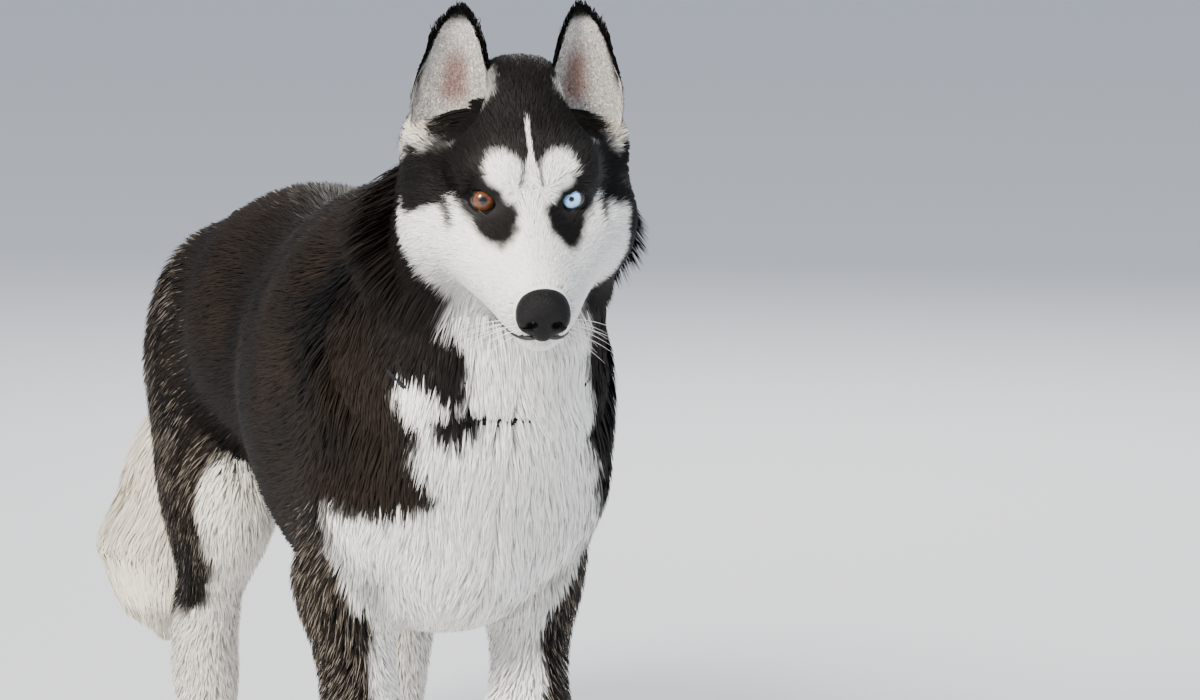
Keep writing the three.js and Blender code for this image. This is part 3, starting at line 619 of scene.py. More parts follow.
def grain_group():
    """A shared effect: colour varied by noise, and a bump from the same noise."""
    group = bpy.data.node_groups.new("grain", "ShaderNodeTree")
    for name, kind in (("Colour", "NodeSocketColor"), ("Scale", "NodeSocketFloat"),
                       ("Variation", "NodeSocketFloat"), ("Bump", "NodeSocketFloat")):
        group.interface.new_socket(name=name, in_out="INPUT", socket_type=kind)
    group.interface.new_socket(name="Colour", in_out="OUTPUT", socket_type="NodeSocketColor")
    group.interface.new_socket(name="Normal", in_out="OUTPUT", socket_type="NodeSocketVector")
    nodes, links = group.nodes, group.links
    given = nodes.new("NodeGroupInput")
    result = nodes.new("NodeGroupOutput")
    place = nodes.new("ShaderNodeTexCoord")
    pattern = nodes.new("ShaderNodeTexNoise")
    pattern.inputs["Detail"].default_value = 4.0
    links.new(place.outputs["Object"], pattern.inputs["Vector"])
    links.new(given.outputs["Scale"], pattern.inputs["Scale"])
    spread = nodes.new("ShaderNodeMath")
    spread.operation = "MULTIPLY_ADD"
    spread.inputs[2].default_value = 1.0
    centred = nodes.new("ShaderNodeMath")
    centred.operation = "SUBTRACT"
    centred.inputs[1].default_value = 0.5
    links.new(pattern.outputs["Fac"], centred.inputs[0])
    links.new(centred.outputs[0], spread.inputs[0])
    links.new(given.outputs["Variation"], spread.inputs[1])
    shade = nodes.new("ShaderNodeVectorMath")
    shade.operation = "SCALE"
    links.new(given.outputs["Colour"], shade.inputs[0])
    links.new(spread.outputs[0], shade.inputs["Scale"])
    links.new(shade.outputs[0], result.inputs["Colour"])
    bump = nodes.new("ShaderNodeBump")
    bump.inputs["Distance"].default_value = 0.0006
    links.new(pattern.outputs["Fac"], bump.inputs["Height"])
    links.new(given.outputs["Bump"], bump.inputs["Strength"])
    links.new(bump.outputs["Normal"], result.inputs["Normal"])
    return group


GRAIN = grain_group()


def finish(name, colour=None, roughness=0.6, scale=400.0, variation=0.3, bump=0.3, specular=0.5,
           coat_weight=0.0):
    """A material from one colour, or from the piece's own colours where none is given."""
    material, nodes, links, shader = nodes_of(name)
    grain = nodes.new("ShaderNodeGroup")
    grain.node_tree = GRAIN
    grain.inputs["Scale"].default_value = scale
    grain.inputs["Variation"].default_value = variation
    grain.inputs["Bump"].default_value = bump
    if colour is None:
        own = nodes.new("ShaderNodeVertexColor")
        own.layer_name = "coat_colour"
        links.new(own.outputs["Color"], grain.inputs["Colour"])
    else:
        grain.inputs["Colour"].default_value = (*colour, 1.0)
    links.new(grain.outputs["Colour"], shader.inputs["Base Color"])
    links.new(grain.outputs["Normal"], shader.inputs["Normal"])
    shader.inputs["Roughness"].default_value = roughness
    shader.inputs["Specular IOR Level"].default_value = specular
    shader.inputs["Coat Weight"].default_value = coat_weight
    shader.inputs["Coat Roughness"].default_value = 0.04
    return material


FUR = finish("coat_of_fur", roughness=0.6, scale=900.0, variation=0.22, bump=0.1, specular=0.10)
HIDE = finish("undercoat_in_painted_shade", roughness=0.85, scale=500.0, variation=0.6, bump=0.8, specular=0.05)
NOSE = finish("nose_leather", (0.006, 0.0055, 0.006), roughness=0.34, scale=1100.0, variation=0.6,
              bump=1.6, specular=0.1)
LIDS = finish("lid_rims", (0.010, 0.008, 0.007), roughness=0.32, scale=900.0, variation=0.4, bump=0.4)
CLAW = finish("claws", (0.035, 0.028, 0.024), roughness=0.35, scale=300.0, variation=0.5, bump=0.2)
STRAP = finish("collar_webbing", (0.012, 0.013, 0.016), roughness=0.8, scale=1600.0, variation=0.6, bump=0.9,
               specular=0.15)
WHISKER = finish("whiskers", (0.75, 0.73, 0.70), roughness=0.35, scale=200.0, variation=0.1, bump=0.0)
EYE = finish("eyes", roughness=0.25, scale=1500.0, variation=0.1, bump=0.0, specular=0.25, coat_weight=0.6)

# Colours, in linear light.
BLACK = np.array([0.0045, 0.0040, 0.0040])
BROWN = np.array([0.028, 0.018, 0.012])
WHITE = np.array([0.86, 0.84, 0.805])
CREAM = np.array([0.74, 0.665, 0.54])
FROST = np.array([0.31, 0.26, 0.205])
RIM = np.array([0.008, 0.0065, 0.006])
PINK = np.array([0.36, 0.23, 0.195])


# Skin.

SOLE = 1.2


def skin_and_floor(p):
    """The skin with flat soles on the floor, and a hollow where each eyeball sits."""
    d = np.maximum(skin(p), SOLE - p[:, 2])
    h = to_head(p)
    near = np.abs(h).max(axis=1) < 60
    if near.any():
        eyes = [ball([s * EYE_APART, EYE_BACK, 0], [EYEBALL + 0.9] * 3)(h[near]) for s in PAIR]
        d[near] = np.maximum(d[near], -np.minimum(*eyes))
    return d


body_points, body_faces = surface_of(
    skin_and_floor, steps((-168, 150, 3.0)), steps((-560, -330, 2.6), (-330, 440, 5.6)),
    steps((-12, 500, 5.6), (500, 760, 2.7)))
body_points = relax(body_points, body_faces, 2)


# Ears: crescents stacked along the ear, open to the front. Each row: height, half width, thickness.

EAR_ROOT = np.array([50.0, 80.0, 12.0])
EAR_LONG = 113.0
EAR_ROWS = np.array([[0, 30, 8], [0.2, 34, 8], [0.38, 34.5, 7], [0.56, 30, 6],
                     [0.74, 23, 5], [0.88, 15.5, 4], [0.96, 9, 3], [1.0, 4, 2]])


def ear_frame(s):
    return turn("Z", math.radians(s * 16)) @ turn("Y", math.radians(-s)) @ turn("X", math.radians(-4))


def ear_skin(s, rows=30, across=15):
    """Points, faces, and each point's height along the ear, place across it and if it is inside."""
    t = np.linspace(-0.06, 1.0, rows)
    half = np.maximum(np.interp(t, EAR_ROWS[:, 0], EAR_ROWS[:, 1]) - 1.6, 0.8)
    thick = np.interp(t, EAR_ROWS[:, 0], EAR_ROWS[:, 2]) * 0.5
    q = np.linspace(-1, 1, across)
    points, marks = [], []
    for i in range(rows):
        cup = half[i] * 0.62
        for inside in (False, True):
            for value in (q if not inside else q[::-1]):
                y = cup * (1 - value * value)
                y -= thick[i] * (1 - value * value) if inside else 0.0
                points.append([half[i] * value, y - cup * 0.5 + (-0.5 if inside else 0.5), t[i] * EAR_LONG])
                marks.append([t[i], value, inside])
    points = np.array(points) @ ear_frame(s).T + EAR_ROOT * np.array([s, 1, 1])
    return from_head(points), ring_faces(rows, 2 * across), np.array(marks)


# Lids: from the edge of each almond opening out to the skin of the face.

GAZE = unit(np.array([[math.sin(math.radians(-20)), -math.cos(math.radians(-20)), 0.02]]))[0]


def eye_at(s):
    return from_head([s * EYE_APART, EYE_BACK, 0])


def almond(angle, s):
    """The half opening of the lids as an angle from the eye's axis. Zero is outwards, 90 degrees is up."""
    a = angle - math.radians(9)
    wide, top, bottom = (1.0, 0.76, 0.72) if s > 0 else (1.08, 0.84, 0.79)
    c, sn = np.cos(a), np.sin(a)
    tall = np.where(sn > 0, top, bottom)
    r = 1.0 / np.sqrt((c / wide) ** 2 + (sn / tall) ** 2)
    return r * (1.0 + 0.16 * np.abs(c) ** 6)


def lid_frame(s):
    """Columns: outwards, up and ahead for one eye, ahead being mostly where the eye looks."""
    face = turn("Z", math.radians(s * 12)) @ (from_head([0, -1, 0.1]) - EYE_MID)
    ahead = GAZE * 0.72 + face * 0.28
    ahead /= np.linalg.norm(ahead)
    up = from_head([0, 0, 1]) - EYE_MID
    up -= ahead * (up @ ahead)
    up /= np.linalg.norm(up)
    return np.stack([np.cross(up, ahead) * s, up, ahead], axis=1)


LID_REACH = 1.42


def lids(s, around=56, rows=11):
    """Points, faces, and each point's share of the way from the lid's edge to the skin."""
    centre = eye_at(s)
    frame_of_lid = lid_frame(s)
    angles = np.linspace(0, 2 * math.pi, around, endpoint=False)
    edge = almond(angles, s)
    shares = np.linspace(0, 1, rows) ** 1.3
    spread = edge[None, :] + (LID_REACH - edge[None, :]) * shares[:, None]
    flat = np.stack([np.cos(angles), np.sin(angles)], axis=1)
    ways = np.concatenate([np.sin(spread)[..., None] * flat[None], np.cos(spread)[..., None]], axis=2)
    ways = ways.reshape(-1, 3) @ frame_of_lid.T
    reach = np.full(len(ways), 6.0)
    for _ in range(60):
        reach += np.maximum(-skin(centre + ways * reach[:, None]), 0.0) * 0.7
    reach = np.clip(reach, EYEBALL + 0.9, 40.0).reshape(rows, around)
    share = ramp(shares, 0.0, 0.75)[:, None]
    radius = (EYEBALL + 0.55) * (1 - share) + (reach + 0.3) * share
    radius += (0.9 * np.sin(np.clip(shares * 3.2, 0, 1) * math.pi))[:, None]
    inner = np.full((1, around), EYEBALL - 0.4)
    points = centre + ways * radius.reshape(-1, 1)
    inside = centre + ways[:around] * inner.reshape(-1, 1)
    points = np.concatenate([inside, points])
    faces = ring_faces(rows + 1, around)[:, [0, 3, 2, 1]]
    first = points[faces[len(faces) // 2]]
    normal = np.cross(first[1] - first[0], first[2] - first[0])
    if normal @ (first[0] - centre) < 0:
        faces = faces[:, ::-1]
    return points, faces, np.concatenate([np.full(around, -0.1), np.repeat(shares, around)])


# Eyes: an eyeball whose iris is drawn in its points, with the cornea standing a little proud.

PUPIL = np.array([0.002, 0.002, 0.003])
EYE_WHITE = np.array([0.03, 0.022, 0.02])
EYE_BEHIND = np.array([0.16, 0.13, 0.12])

def eyeball(name, s, inner, outer, rim, pupil_size, iris_size):
    """Inner, outer and rim are the iris's colours. The sizes are radii."""
    around, rows = 72, 60
    side = np.cross(GAZE, [0, 0, 1.0])
    side /= np.linalg.norm(side)
    up = np.cross(side, GAZE)
    bend = np.linspace(0, 1, rows) ** 1.5 * (math.pi - 0.02) + 0.004
    angles = np.linspace(0, 2 * math.pi, around, endpoint=False)
    b, a = np.meshgrid(bend, angles, indexing="ij")
    r = EYEBALL * (1 + 0.055 * (1 - ramp(b, 0.45, 0.75)))
    ways = np.stack([np.sin(b) * np.cos(a), np.sin(b) * np.sin(a), np.cos(b)], axis=-1).reshape(-1, 3)
    points = eye_at(s) + (ways * r.reshape(-1, 1)) @ np.stack([side, up, GAZE])
    radius = (EYEBALL * np.sin(b)).reshape(-1)
    round_iris = np.stack([np.cos(a).ravel() * 9, np.sin(a).ravel() * 9, radius * 0.35], axis=1)
    share = ramp(radius, pupil_size, iris_size)[:, None]
    colour = np.array(inner) * (1 - share) + np.array(outer) * share
    colour *= (1.0 + 0.35 * noise(round_iris, 1.0, 7 + s))[:, None]
    edge = ramp(radius, iris_size - 1.3, iris_size)[:, None]
    colour = colour * (1 - edge) + np.array(rim) * edge
    white = ramp(radius, iris_size, iris_size + 0.5)[:, None]
    colour = colour * (1 - white) + EYE_WHITE * white
    hole = 1 - ramp(radius, pupil_size - 0.3, pupil_size + 0.3)[:, None]
    colour = colour * (1 - hole) + PUPIL * hole
    behind = (b.reshape(-1) > math.pi / 2)[:, None]
    colour = np.where(behind, EYE_BEHIND, colour)
    faces = ring_faces(rows, around)[:, [1, 2, 3, 0]]
    return make_mesh(name, points, faces, EYE, np.clip(colour, 0, 1))


amber = eyeball("eye_amber", -1, (0.060, 0.021, 0.010), (0.150, 0.046, 0.014), (0.010, 0.006, 0.004),
                2.8, 8.1)
blue = eyeball("eye_blue", 1, (0.22, 0.46, 0.78), (0.38, 0.63, 0.92), (0.015, 0.04, 0.10), 2.0, 7.5)
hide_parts("eye_right")
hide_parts("eye_left")


# Nose leather, with its nostrils.

def nose_form(p):
    h = to_head(p)
    form = blend(
        5.0,
        ball([0, -97, -45.5], [19.8, 15.8, 17]),
        *[ball([s * 10.5, -100, -52], [10, 12.5, 12]) for s in PAIR],
        ball([0, -97.5, -61], [10, 12, 10.5]),
    )(h)
    holes = [ball([s * 9.6, -113.5, -54], [4.6, 8.5, 4.2])(h) for s in PAIR]
    slits = [bar([s * 11, -112, -55], [s * 19.5, -103, -57], 1.6, 0.8)(h) for s in PAIR]
    groove = bar([0, -113.5, -46], [0, -111, -64], 0.9, 0.9)(h)
    for hole in (*holes, *slits, groove):
        form = -soft_min(-form, hole, 1.6)
    return form


nose_centre = from_head([0, -99, -50])
nose_points, nose_faces = surface_of(
    lambda p: nose_form(p.astype(np.float64)).astype(np.float32),
    *[steps((c - 27, c + 27, 0.9)) for c in nose_centre])
nose = make_mesh("nose_pad", relax(nose_points, nose_faces, 1), nose_faces, NOSE, slot="nose_leather")
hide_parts("nose")


# Skin, ears and lids joined to one piece.

def tint(white, p, cream):
    """Colour of the coat from its share of white."""
    pale = WHITE * (1 - cream)[:, None] + CREAM * cream[:, None]
    on_body = ramp(p[:, 1], -380, -300)
    warm = (0.12 + 0.45 * on_body) * (0.5 + 0.5 * noise(p, 42, 11))
    dark = BLACK * (1 - warm)[:, None] + BROWN * warm[:, None]
    return dark * (1 - white)[:, None] + pale * white[:, None]


def cream_share(p, shares):
    h = to_head(p)
    tail = shares[:, TAIL]
    _, hind = leg_shares(shares)
    return np.clip(tail * 0.85 + hind * 0.45 + ear_pale(h) * 0.85, 0, 1)


def skin_colour(p, shares):
    white = markings(p, shares)
    # The skin is painted darker than its coat, as shade under the fur: to 0.62 of it in black coat and 0.8 in
    # white.
    return tint(white, p, cream_share(p, shares)) * (0.62 + 0.18 * white)[:, None]


body_colour = skin_colour(body_points, survey(body_points)[2])

lid_sets = [lids(s) for s in PAIR]
ear_sets = [ear_skin(s) for s in PAIR]


def ear_colour(marks):
    """Black behind and along the rim, pale inside with a pink middle."""
    t, q, inside = marks[:, 0], marks[:, 1], marks[:, 2]
    rim = ramp(np.abs(q), 0.80, 0.95) * ramp(t, 0.3, 0.5) + ramp(t, 0.86, 0.95)
    pink = ramp(t, 0.20, 0.40) * (1 - ramp(t, 0.55, 0.8)) * (1 - ramp(np.abs(q + 0.05), 0.10, 0.6))
    pale = WHITE * 0.85 + CREAM * 0.15
    colour = pale * (1 - pink)[:, None] + PINK * pink[:, None]
    low_edge = 0.7 * ramp(np.abs(q), 0.84, 0.96) * (1 - ramp(t, 0.34, 0.48))
    share = np.clip(np.maximum(inside, low_edge * 0.8) * (1 - rim), 0, 1)[:, None]
    return BLACK * (1 - share) + colour * share


def lid_colour(p, marks):
    """Dark along the rim, then the colour of the face, darkened to 0.7 as painted shade under the fur."""
    rim = (1 - ramp(marks, 0.16, 0.30))[:, None]
    white = face_white(p)
    return RIM * rim + tint(white, p, white * 0) * 0.7 * (1 - rim)


def gather(parts):
    """The points and faces of several parts as one."""
    starts = np.cumsum([0] + [len(part[0]) for part in parts])
    return (np.concatenate([part[0] for part in parts]),
            np.concatenate([part[1] + start for part, start in zip(parts, starts)]))


# Painted shade under the coat: the ears' skin is darkened to 0.8, the body's in skin_colour and the lids' in
# lid_colour.
hide_colours = [body_colour] + [ear_colour(marks) * 0.8 for _, _, marks in ear_sets]
hide_colours += [lid_colour(p, marks) for p, _, marks in lid_sets]
hide = make_mesh("hide", *gather([(body_points, body_faces), *ear_sets, *lid_sets]), HIDE,
                 np.concatenate(hide_colours), slot="black_coat")
FLESH = ["head", "neck", "ear_left", "ear_right", "tail_root", "tail_middle", "tail_tip", "chest", "rump",
         "barrel"]
for side in ("left", "right"):
    FLESH += [f"{part}_{side}" for part in ("forepaw", "forearm", "upper_foreleg", "hindpaw",
                                            "rear_pastern", "lower_thigh", "thigh")]
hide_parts(*FLESH)


# Fur: thin tapering tufts that lie along the body.

random = np.random.default_rng(7)


def split(faces):
    return np.concatenate([faces[:, [0, 1, 2]], faces[:, [0, 2, 3]]])


def scatter(points, triangles, weights, count):
    """Even random places on triangles: the triangle of each, and its share of the corners."""
    a, b, c = (points[triangles[:, k]] for k in range(3))
    area = 0.5 * np.linalg.norm(np.cross(b - a, c - a), axis=1) * weights
    even_steps = (np.arange(count) + random.random(count)) / count
    chosen = np.searchsorted(np.cumsum(area) / area.sum(), even_steps)
    chosen = np.clip(chosen, 0, len(triangles) - 1)
    u, v = random.random(count), random.random(count)
    over = u + v > 1
    u[over], v[over] = 1 - u[over], 1 - v[over]
    return chosen, np.stack([1 - u - v, u, v], axis=1)


# Rows of a tuft: place along it, height as a share of its rise, half width.
LONG_TUFT = ((0.0, -0.12, 0.40), (0.34, 0.42, 0.5), (0.68, 0.78, 0.34), (1.0, 1.0, 0.0))
SHORT_TUFT = ((0.0, -0.12, 0.46), (0.55, 0.68, 0.44), (1.0, 1.0, 0.0))


# The side of the patch that a tuft has on the unwrap.
PATCH = 0.003


def fit(p, normals, want):
    """Moves points along the skin's normals until they lie at the wanted depth within the coat's tips."""
    for _ in range(2):
        shift = want - coat(p)
        past_tail = (shift < -12.0) & (p[:, 2] < 225.0) & (p[:, 1] > 330.0)
        p = p + normals * np.where(past_tail, 0.0, np.clip(shift, -25.0, 25.0))[:, None]
    return p


def grow(name, roots, normals, ways, length, width, depth, colour, uv, tip_colour, shape=LONG_TUFT,
         clump=9.0, pull=0.45, sway=0.2, root_painted_shade=0.6, fitted=True, lift=1.0, vary=0.07, hold=None):
    """Tufts that narrow to a point, each a flat bent strip of paired rows and a tip.

    Clump and pull draw the tips of neighbours together, sway bends them, vary is how much they differ
    in brightness, and hold is a last move of their points. Each tuft is painted darker towards its root,
    as shade from the coat around it, down to root_painted_shade.
    """
    n = len(roots)
    t, high, broad = (np.array(column) for column in zip(*shape))
    rows = len(t)
    bend = wander(roots, 34, 21) * sway * 1.6
    bend += random.normal(0, sway * 0.5, (n, 3))
    way = ways + bend
    way -= (way * normals).sum(axis=1)[:, None] * normals
    way = unit(way)
    long = length * random.uniform(0.72, 1.22, n)
    rise = random.uniform(0.70, 1.04, n) * lift
    heights = np.where(high < 0, high, high * rise[:, None])
    spine = roots[:, None, :] + way[:, None, :] * (long[:, None] * t[None, :])[..., None]
    spine = spine + normals[:, None, :] * (heights * depth[:, None])[..., None]
    cells = np.floor((roots + 6.0 * bend) / clump).astype(np.int64)
    _, group = np.unique(cell_key(cells), return_inverse=True)
    size = np.bincount(group)
    for row in range(1, rows):
        middle = np.stack([np.bincount(group, spine[:, row, k]) / size for k in range(3)], axis=1)[group]
        spine[:, row] += (middle - spine[:, row]) * pull * t[row] ** 2
    if fitted:
        for row in range(1, rows):
            spine[:, row] = fit(spine[:, row], normals, -depth * (1.0 - heights[:, row]))
        spine[:, :, 2] = np.maximum(spine[:, :, 2], 0.8)
    if hold is not None:
        for row in range(1, rows):
            spine[:, row] = hold(spine[:, row])
    side = np.cross(normals, way)
    tilt = random.normal(0, 0.4, n)
    side = side * np.cos(tilt)[:, None] + normals * np.sin(tilt)[:, None]
    half = (width * random.uniform(0.7, 1.3, n))[:, None] * broad[None, :-1]
    left = spine[:, :-1] - side[:, None, :] * half[..., None]
    right = spine[:, :-1] + side[:, None, :] * half[..., None]
    pairs = 2 * (rows - 1)
    sides = np.stack([left, right], axis=2).reshape(n, pairs, 3)
    vertices = np.concatenate([sides, spine[:, -1:]], axis=1)
    strip = []
    for k in range(0, pairs - 2, 2):
        strip += [[k, k + 3, k + 1], [k, k + 2, k + 3]]
    strip.append([pairs - 2, pairs, pairs - 1])
    faces = (np.arange(n)[:, None, None] * (pairs + 1) + np.array(strip)[None]).reshape(-1, 3)
    bright = random.normal(1.0, vary, n)[:, None, None]
    blend_in = np.clip(t * 1.15, 0, 1)[None, :, None]
    # Painted shade: each tuft darkens towards its root, reaching full colour two thirds of the way out.
    deep = np.broadcast_to(root_painted_shade, (n,))[:, None]
    shade = deep + (1 - deep) * np.clip(t * 1.5, 0, 1)[None, :]
    by_row = colour[:, None, :] * (1 - blend_in) + tip_colour[:, None, :] * blend_in
    by_row = by_row * shade[..., None] * bright
    take = [row for row in range(rows - 1) for _ in range(2)] + [rows - 1]
    shades = by_row[:, take]
    soft = unit(normals + 0.35 * random.normal(0, 0.5, (n, 3)) + 0.12 * side)
    patch = np.array([[k % 2 if k < pairs else 0.5, t[take[k]]] for k in range(pairs + 1)]) * PATCH
    uvs = uv[:, None, :] + patch[None] - PATCH / 2
    return make_mesh(name, vertices.reshape(-1, 3), faces, FUR, np.clip(shades.reshape(-1, 3), 0, 1),
                     uv=uvs.reshape(-1, 2), normals=np.repeat(soft, pairs + 1, axis=0))


# Unwraps of the skin for the coat pieces: round each part's own axis.

def unwrapped(u, v):
    """Both from 0 to 1, kept a little off the edges."""
    return np.stack([0.01 + 0.98 * u, 0.01 + 0.98 * np.clip(v, 0, 1)], axis=1)


def round_axis(side, ahead, along, low, high):
    """U from the angle round an axis, V from the place along it."""
    return unwrapped(np.arctan2(side, ahead) / (2 * math.pi) + 0.5, (along - low) / (high - low))


def head_unwrap(p):
    h = to_head(p) - np.array([0, 40, -20])
    rise = np.arctan2(h[:, 2], np.hypot(h[:, 0], h[:, 1]))
    return unwrapped(np.arctan2(h[:, 0], -h[:, 1] + 1e-6) / (2 * math.pi) + 0.5, rise / math.pi + 0.5)


def trunk_unwrap(p):
    return round_axis(p[:, 0], p[:, 2] - 460, p[:, 1] - 0.6 * p[:, 2], -860, 80)


def leg_unwrap(p):
    centre_x = np.where(p[:, 0] > 0, 70.0, -70.0)
    centre_y = np.where(p[:, 1] > -40, np.where(p[:, 0] > 0, 150.0, 220.0), -205.0)
    uv = round_axis(p[:, 0] - centre_x, p[:, 1] - centre_y, p[:, 2], 0, 560)
    quarter = (p[:, 0] > 0) * 1 + (p[:, 1] > -40) * 2
    return np.stack([(uv[:, 0] + quarter) / 4, uv[:, 1]], axis=1)


def tail_unwrap(p):
    middle = TAIL_PATH[nearest_in_tail(p)]
    return round_axis(p[:, 0] - middle[:, 0], p[:, 1] - middle[:, 1], p[:, 2], 150, 580)


# Where tufts grow on the skin.

triangles = split(body_faces)
centres = body_points[triangles].mean(axis=1)
normals_all = unit(slope_of(skin, body_points))
main = survey(centres)[2].argmax(axis=1)
tri_head = to_head(centres)
tri_normals = unit(normals_all[triangles].mean(axis=1))


def near_eye(p, margin):
    """True where a point lies in front of an eyeball within the lids' opening and a margin."""
    found = np.zeros(len(p), dtype=bool)
    for s in PAIR:
        d = p - eye_at(s)
        q = d @ lid_frame(s)
        r = np.linalg.norm(d, axis=1)
        bend = np.arccos(np.clip(q[:, 2] / np.maximum(r, 1e-6), -1, 1))
        found |= (bend < almond(np.arctan2(q[:, 1], q[:, 0]), s) + margin) & (r < 30)
    return found


usable = (centres[:, 2] > 2.5) & ~near_eye(centres, 0.05)
at_nose = np.linalg.norm(centres - nose_centre, axis=1) < 40
usable[at_nose] &= nose_form(centres[at_nose]) >= 1.2


def over_skin(p):
    return skin(p) - 1.3


# The mouth line, from the middle under the nose back to its corner, in the head's frame.
MOUTH = np.array([[0, -109, -66], [8, -105.5, -70], [14, -101, -71], [25, -84, -71], [33, -56, -69],
                  [42, -26, -66]])
BARE_BY_LIPS = 2.6
lip_lines = []
for s in PAIR:
    corners = MOUTH * np.array([s, 1, 1])
    t = np.linspace(0, 5, 40)
    line = np.stack([np.interp(t, range(6), corners[:, k]) for k in range(3)], axis=1)
    for _ in range(6):
        line[1:-1] = (line[:-2] + 2 * line[1:-1] + line[2:]) / 4
    lip_lines.append(settle(over_skin, from_head(line), 4))
middle = np.stack([np.zeros(6), np.linspace(-112, -108, 6), np.linspace(-60, -67, 6)], axis=1)
lip_lines.append(settle(over_skin, from_head(middle), 3))
at_mouth = np.linalg.norm(centres - from_head([0, -70, -68]), axis=1) < 75
away = np.linalg.norm(centres[at_mouth][:, None] - np.concatenate(lip_lines)[None], axis=2).min(axis=1)
usable[at_mouth] &= away > BARE_BY_LIPS
is_face = main == FACE
muzzle = ramp(-tri_head[:, 1], 14, 40)


def region(name, chosen, weights, count, length, width, unwrap, lift=None, **more):
    """Grows one coat piece over the chosen triangles. Length, width and lift are read at each root."""
    count = int(count * FULLNESS)
    picked = triangles[chosen & usable]
    where, corner = scatter(body_points, picked, weights[chosen & usable], count)
    mix = picked[where]
    roots = np.einsum("nk,nki->ni", corner, body_points[mix])
    normals = unit(np.einsum("nk,nki->ni", corner, normals_all[mix]))
    _, depth, shares = survey(roots)
    ways = lie(roots, shares, normals)
    long = length(roots)
    shown = roots + ways * (0.55 * long)[:, None]
    white = markings(shown, shares)
    colour = tint(white, shown, cream_share(shown, shares))
    frost = (random.random(count) < salt(shown, shares))[:, None] * (1 - white)[:, None]
    tip_colour = colour * (1 - frost) + FROST * random.uniform(0.25, 1.0, (count, 1)) * frost
    thin = np.where(frost[:, 0] > 0.3, 0.55, 1.0)
    # Tufts are painted darker at the root as shade from the coat around them, less so in white coat.
    return grow(name, roots, normals, ways, long, width(roots) * thin / math.sqrt(FULLNESS), depth, colour,
                unwrap(roots), tip_colour, root_painted_shade=0.55 + 0.27 * white,
                lift=1.0 if lift is None else lift(roots), **more)


def salt(p, shares):
    """The chance that a dark hair has a pale tip, on the thighs and the forelegs."""
    fore, hind = leg_shares(shares)
    patches = 0.5 + 0.5 * noise(p, 30, 31)
    return 0.62 * hind * patches + 0.5 * fore * ramp(-p[:, 2], -400, -360)


def face_length(p):
    h = to_head(p)
    ahead = ramp(-h[:, 1], -30, 50)
    cheek = ramp(h[:, 1], 20, 70) * ramp(-h[:, 2], -20, 40)
    return 14 - 9 * ahead + 14 * cheek - 3 * ramp(h[:, 2], 10, 50) + 5 * ear_pale(h)


def face_width(p):
    h = to_head(p)
    return 1.1 - 0.45 * ramp(-h[:, 1], -30, 30) + 0.6 * ramp(h[:, 1], 30, 80)


def even(value):
    return lambda p: np.full(len(p), float(value))


STRAP_MIDDLE = np.array([-3.0, -275.0, 538.0])
STRAP_LEAN = turn("X", math.radians(45))
STRAP_UP = STRAP_LEAN @ np.array([0, 0, 1.0])
LONG_HAIR = 38.0


def neck_length(p):
    """Long hair, held short just above the collar at the throat."""
    over = (p - STRAP_MIDDLE) @ STRAP_UP
    held = ramp(over, 6, 12) * (1 - ramp(over, 34, 48))
    held *= ramp(-p[:, 1], 325, 340) * (1 - ramp(np.abs(p[:, 0] + 12), 24, 34))
    return LONG_HAIR * (1 - held) + np.clip(over - 4, 8, LONG_HAIR) * held


def ruff_lift(p):
    """How far the ruff stands out: more beside the cheeks and less under them."""
    h = to_head(p)
    beside = ramp(np.abs(h[:, 0]), 36, 62) * ramp(h[:, 1], 16, 40) * (1 - ramp(h[:, 1], 110, 150))
    under = ramp(-h[:, 2], 52, 84)
    return 1.0 + 2.0 * beside * ramp(-h[:, 2], -10, 40) * (1 - under) - 0.55 * beside * under


ones = np.ones(len(triangles))
ahead_of_cheek = tri_head[:, 1] < 34
region("coat_face", is_face & ahead_of_cheek, 1.0 + 0.8 * muzzle, 58000, face_length, face_width, head_unwrap,
       shape=SHORT_TUFT, clump=4.0, pull=0.2, sway=0.14)
region("coat_cheeks", is_face & ~ahead_of_cheek, ones, 52000, face_length, face_width, head_unwrap,
       shape=SHORT_TUFT, clump=7.0, pull=0.4, sway=0.2)

is_trunk = main == TRUNK
neck_part = is_trunk & (centres[:, 1] + 262 + (508 - centres[:, 2]) < 0)
chest_part = is_trunk & ~neck_part & (centres[:, 1] < -150)
back_part = is_trunk & ~neck_part & ~chest_part
region("coat_neck", neck_part, ones, 36000, neck_length, even(2.1), trunk_unwrap, clump=11.0, lift=ruff_lift)
region("coat_chest", chest_part, ones, 36000, neck_length, even(2.2), trunk_unwrap, clump=12.0)
for name, s in (("left", 1), ("right", -1)):
    region(f"coat_flank_{name}", back_part & (centres[:, 0] * s > 0), ones, 40000, even(26), even(1.9),
           trunk_unwrap, shape=SHORT_TUFT, clump=9.0, pull=0.3)


def leg_length(p):
    return 7.0 + 6.0 * ramp(p[:, 2], 40, 180) + 11.0 * ramp(p[:, 2], 240, 380)


def leg_width(p):
    return 1.0 + 0.4 * ramp(p[:, 2], 40, 180) + 0.4 * ramp(p[:, 2], 240, 380)


def tail_length(p):
    return (44.0 + 14.0 * ramp(-p[:, 2], -480, -380)) * (0.4 + 0.6 * ramp(p[:, 2], 185, 280))


TAIL_MIDDLE = np.array([-70.0, 383.0])
TAIL_END_UP = (120, 150, 170, 190, 215, 243, 290)
TAIL_END_HALF = (1, 9, 18, 29, 41, 51, 80)


def tail_hold(p):
    """Draws hair at the end of the tail in to a soft point."""
    off = p[:, :2] - TAIL_MIDDLE
    away = np.maximum(np.linalg.norm(off, axis=1), 1e-6)
    limit = np.interp(p[:, 2], TAIL_END_UP, TAIL_END_HALF)
    p[:, :2] = TAIL_MIDDLE + off * np.minimum(1.0, limit / away)[:, None]
    return p


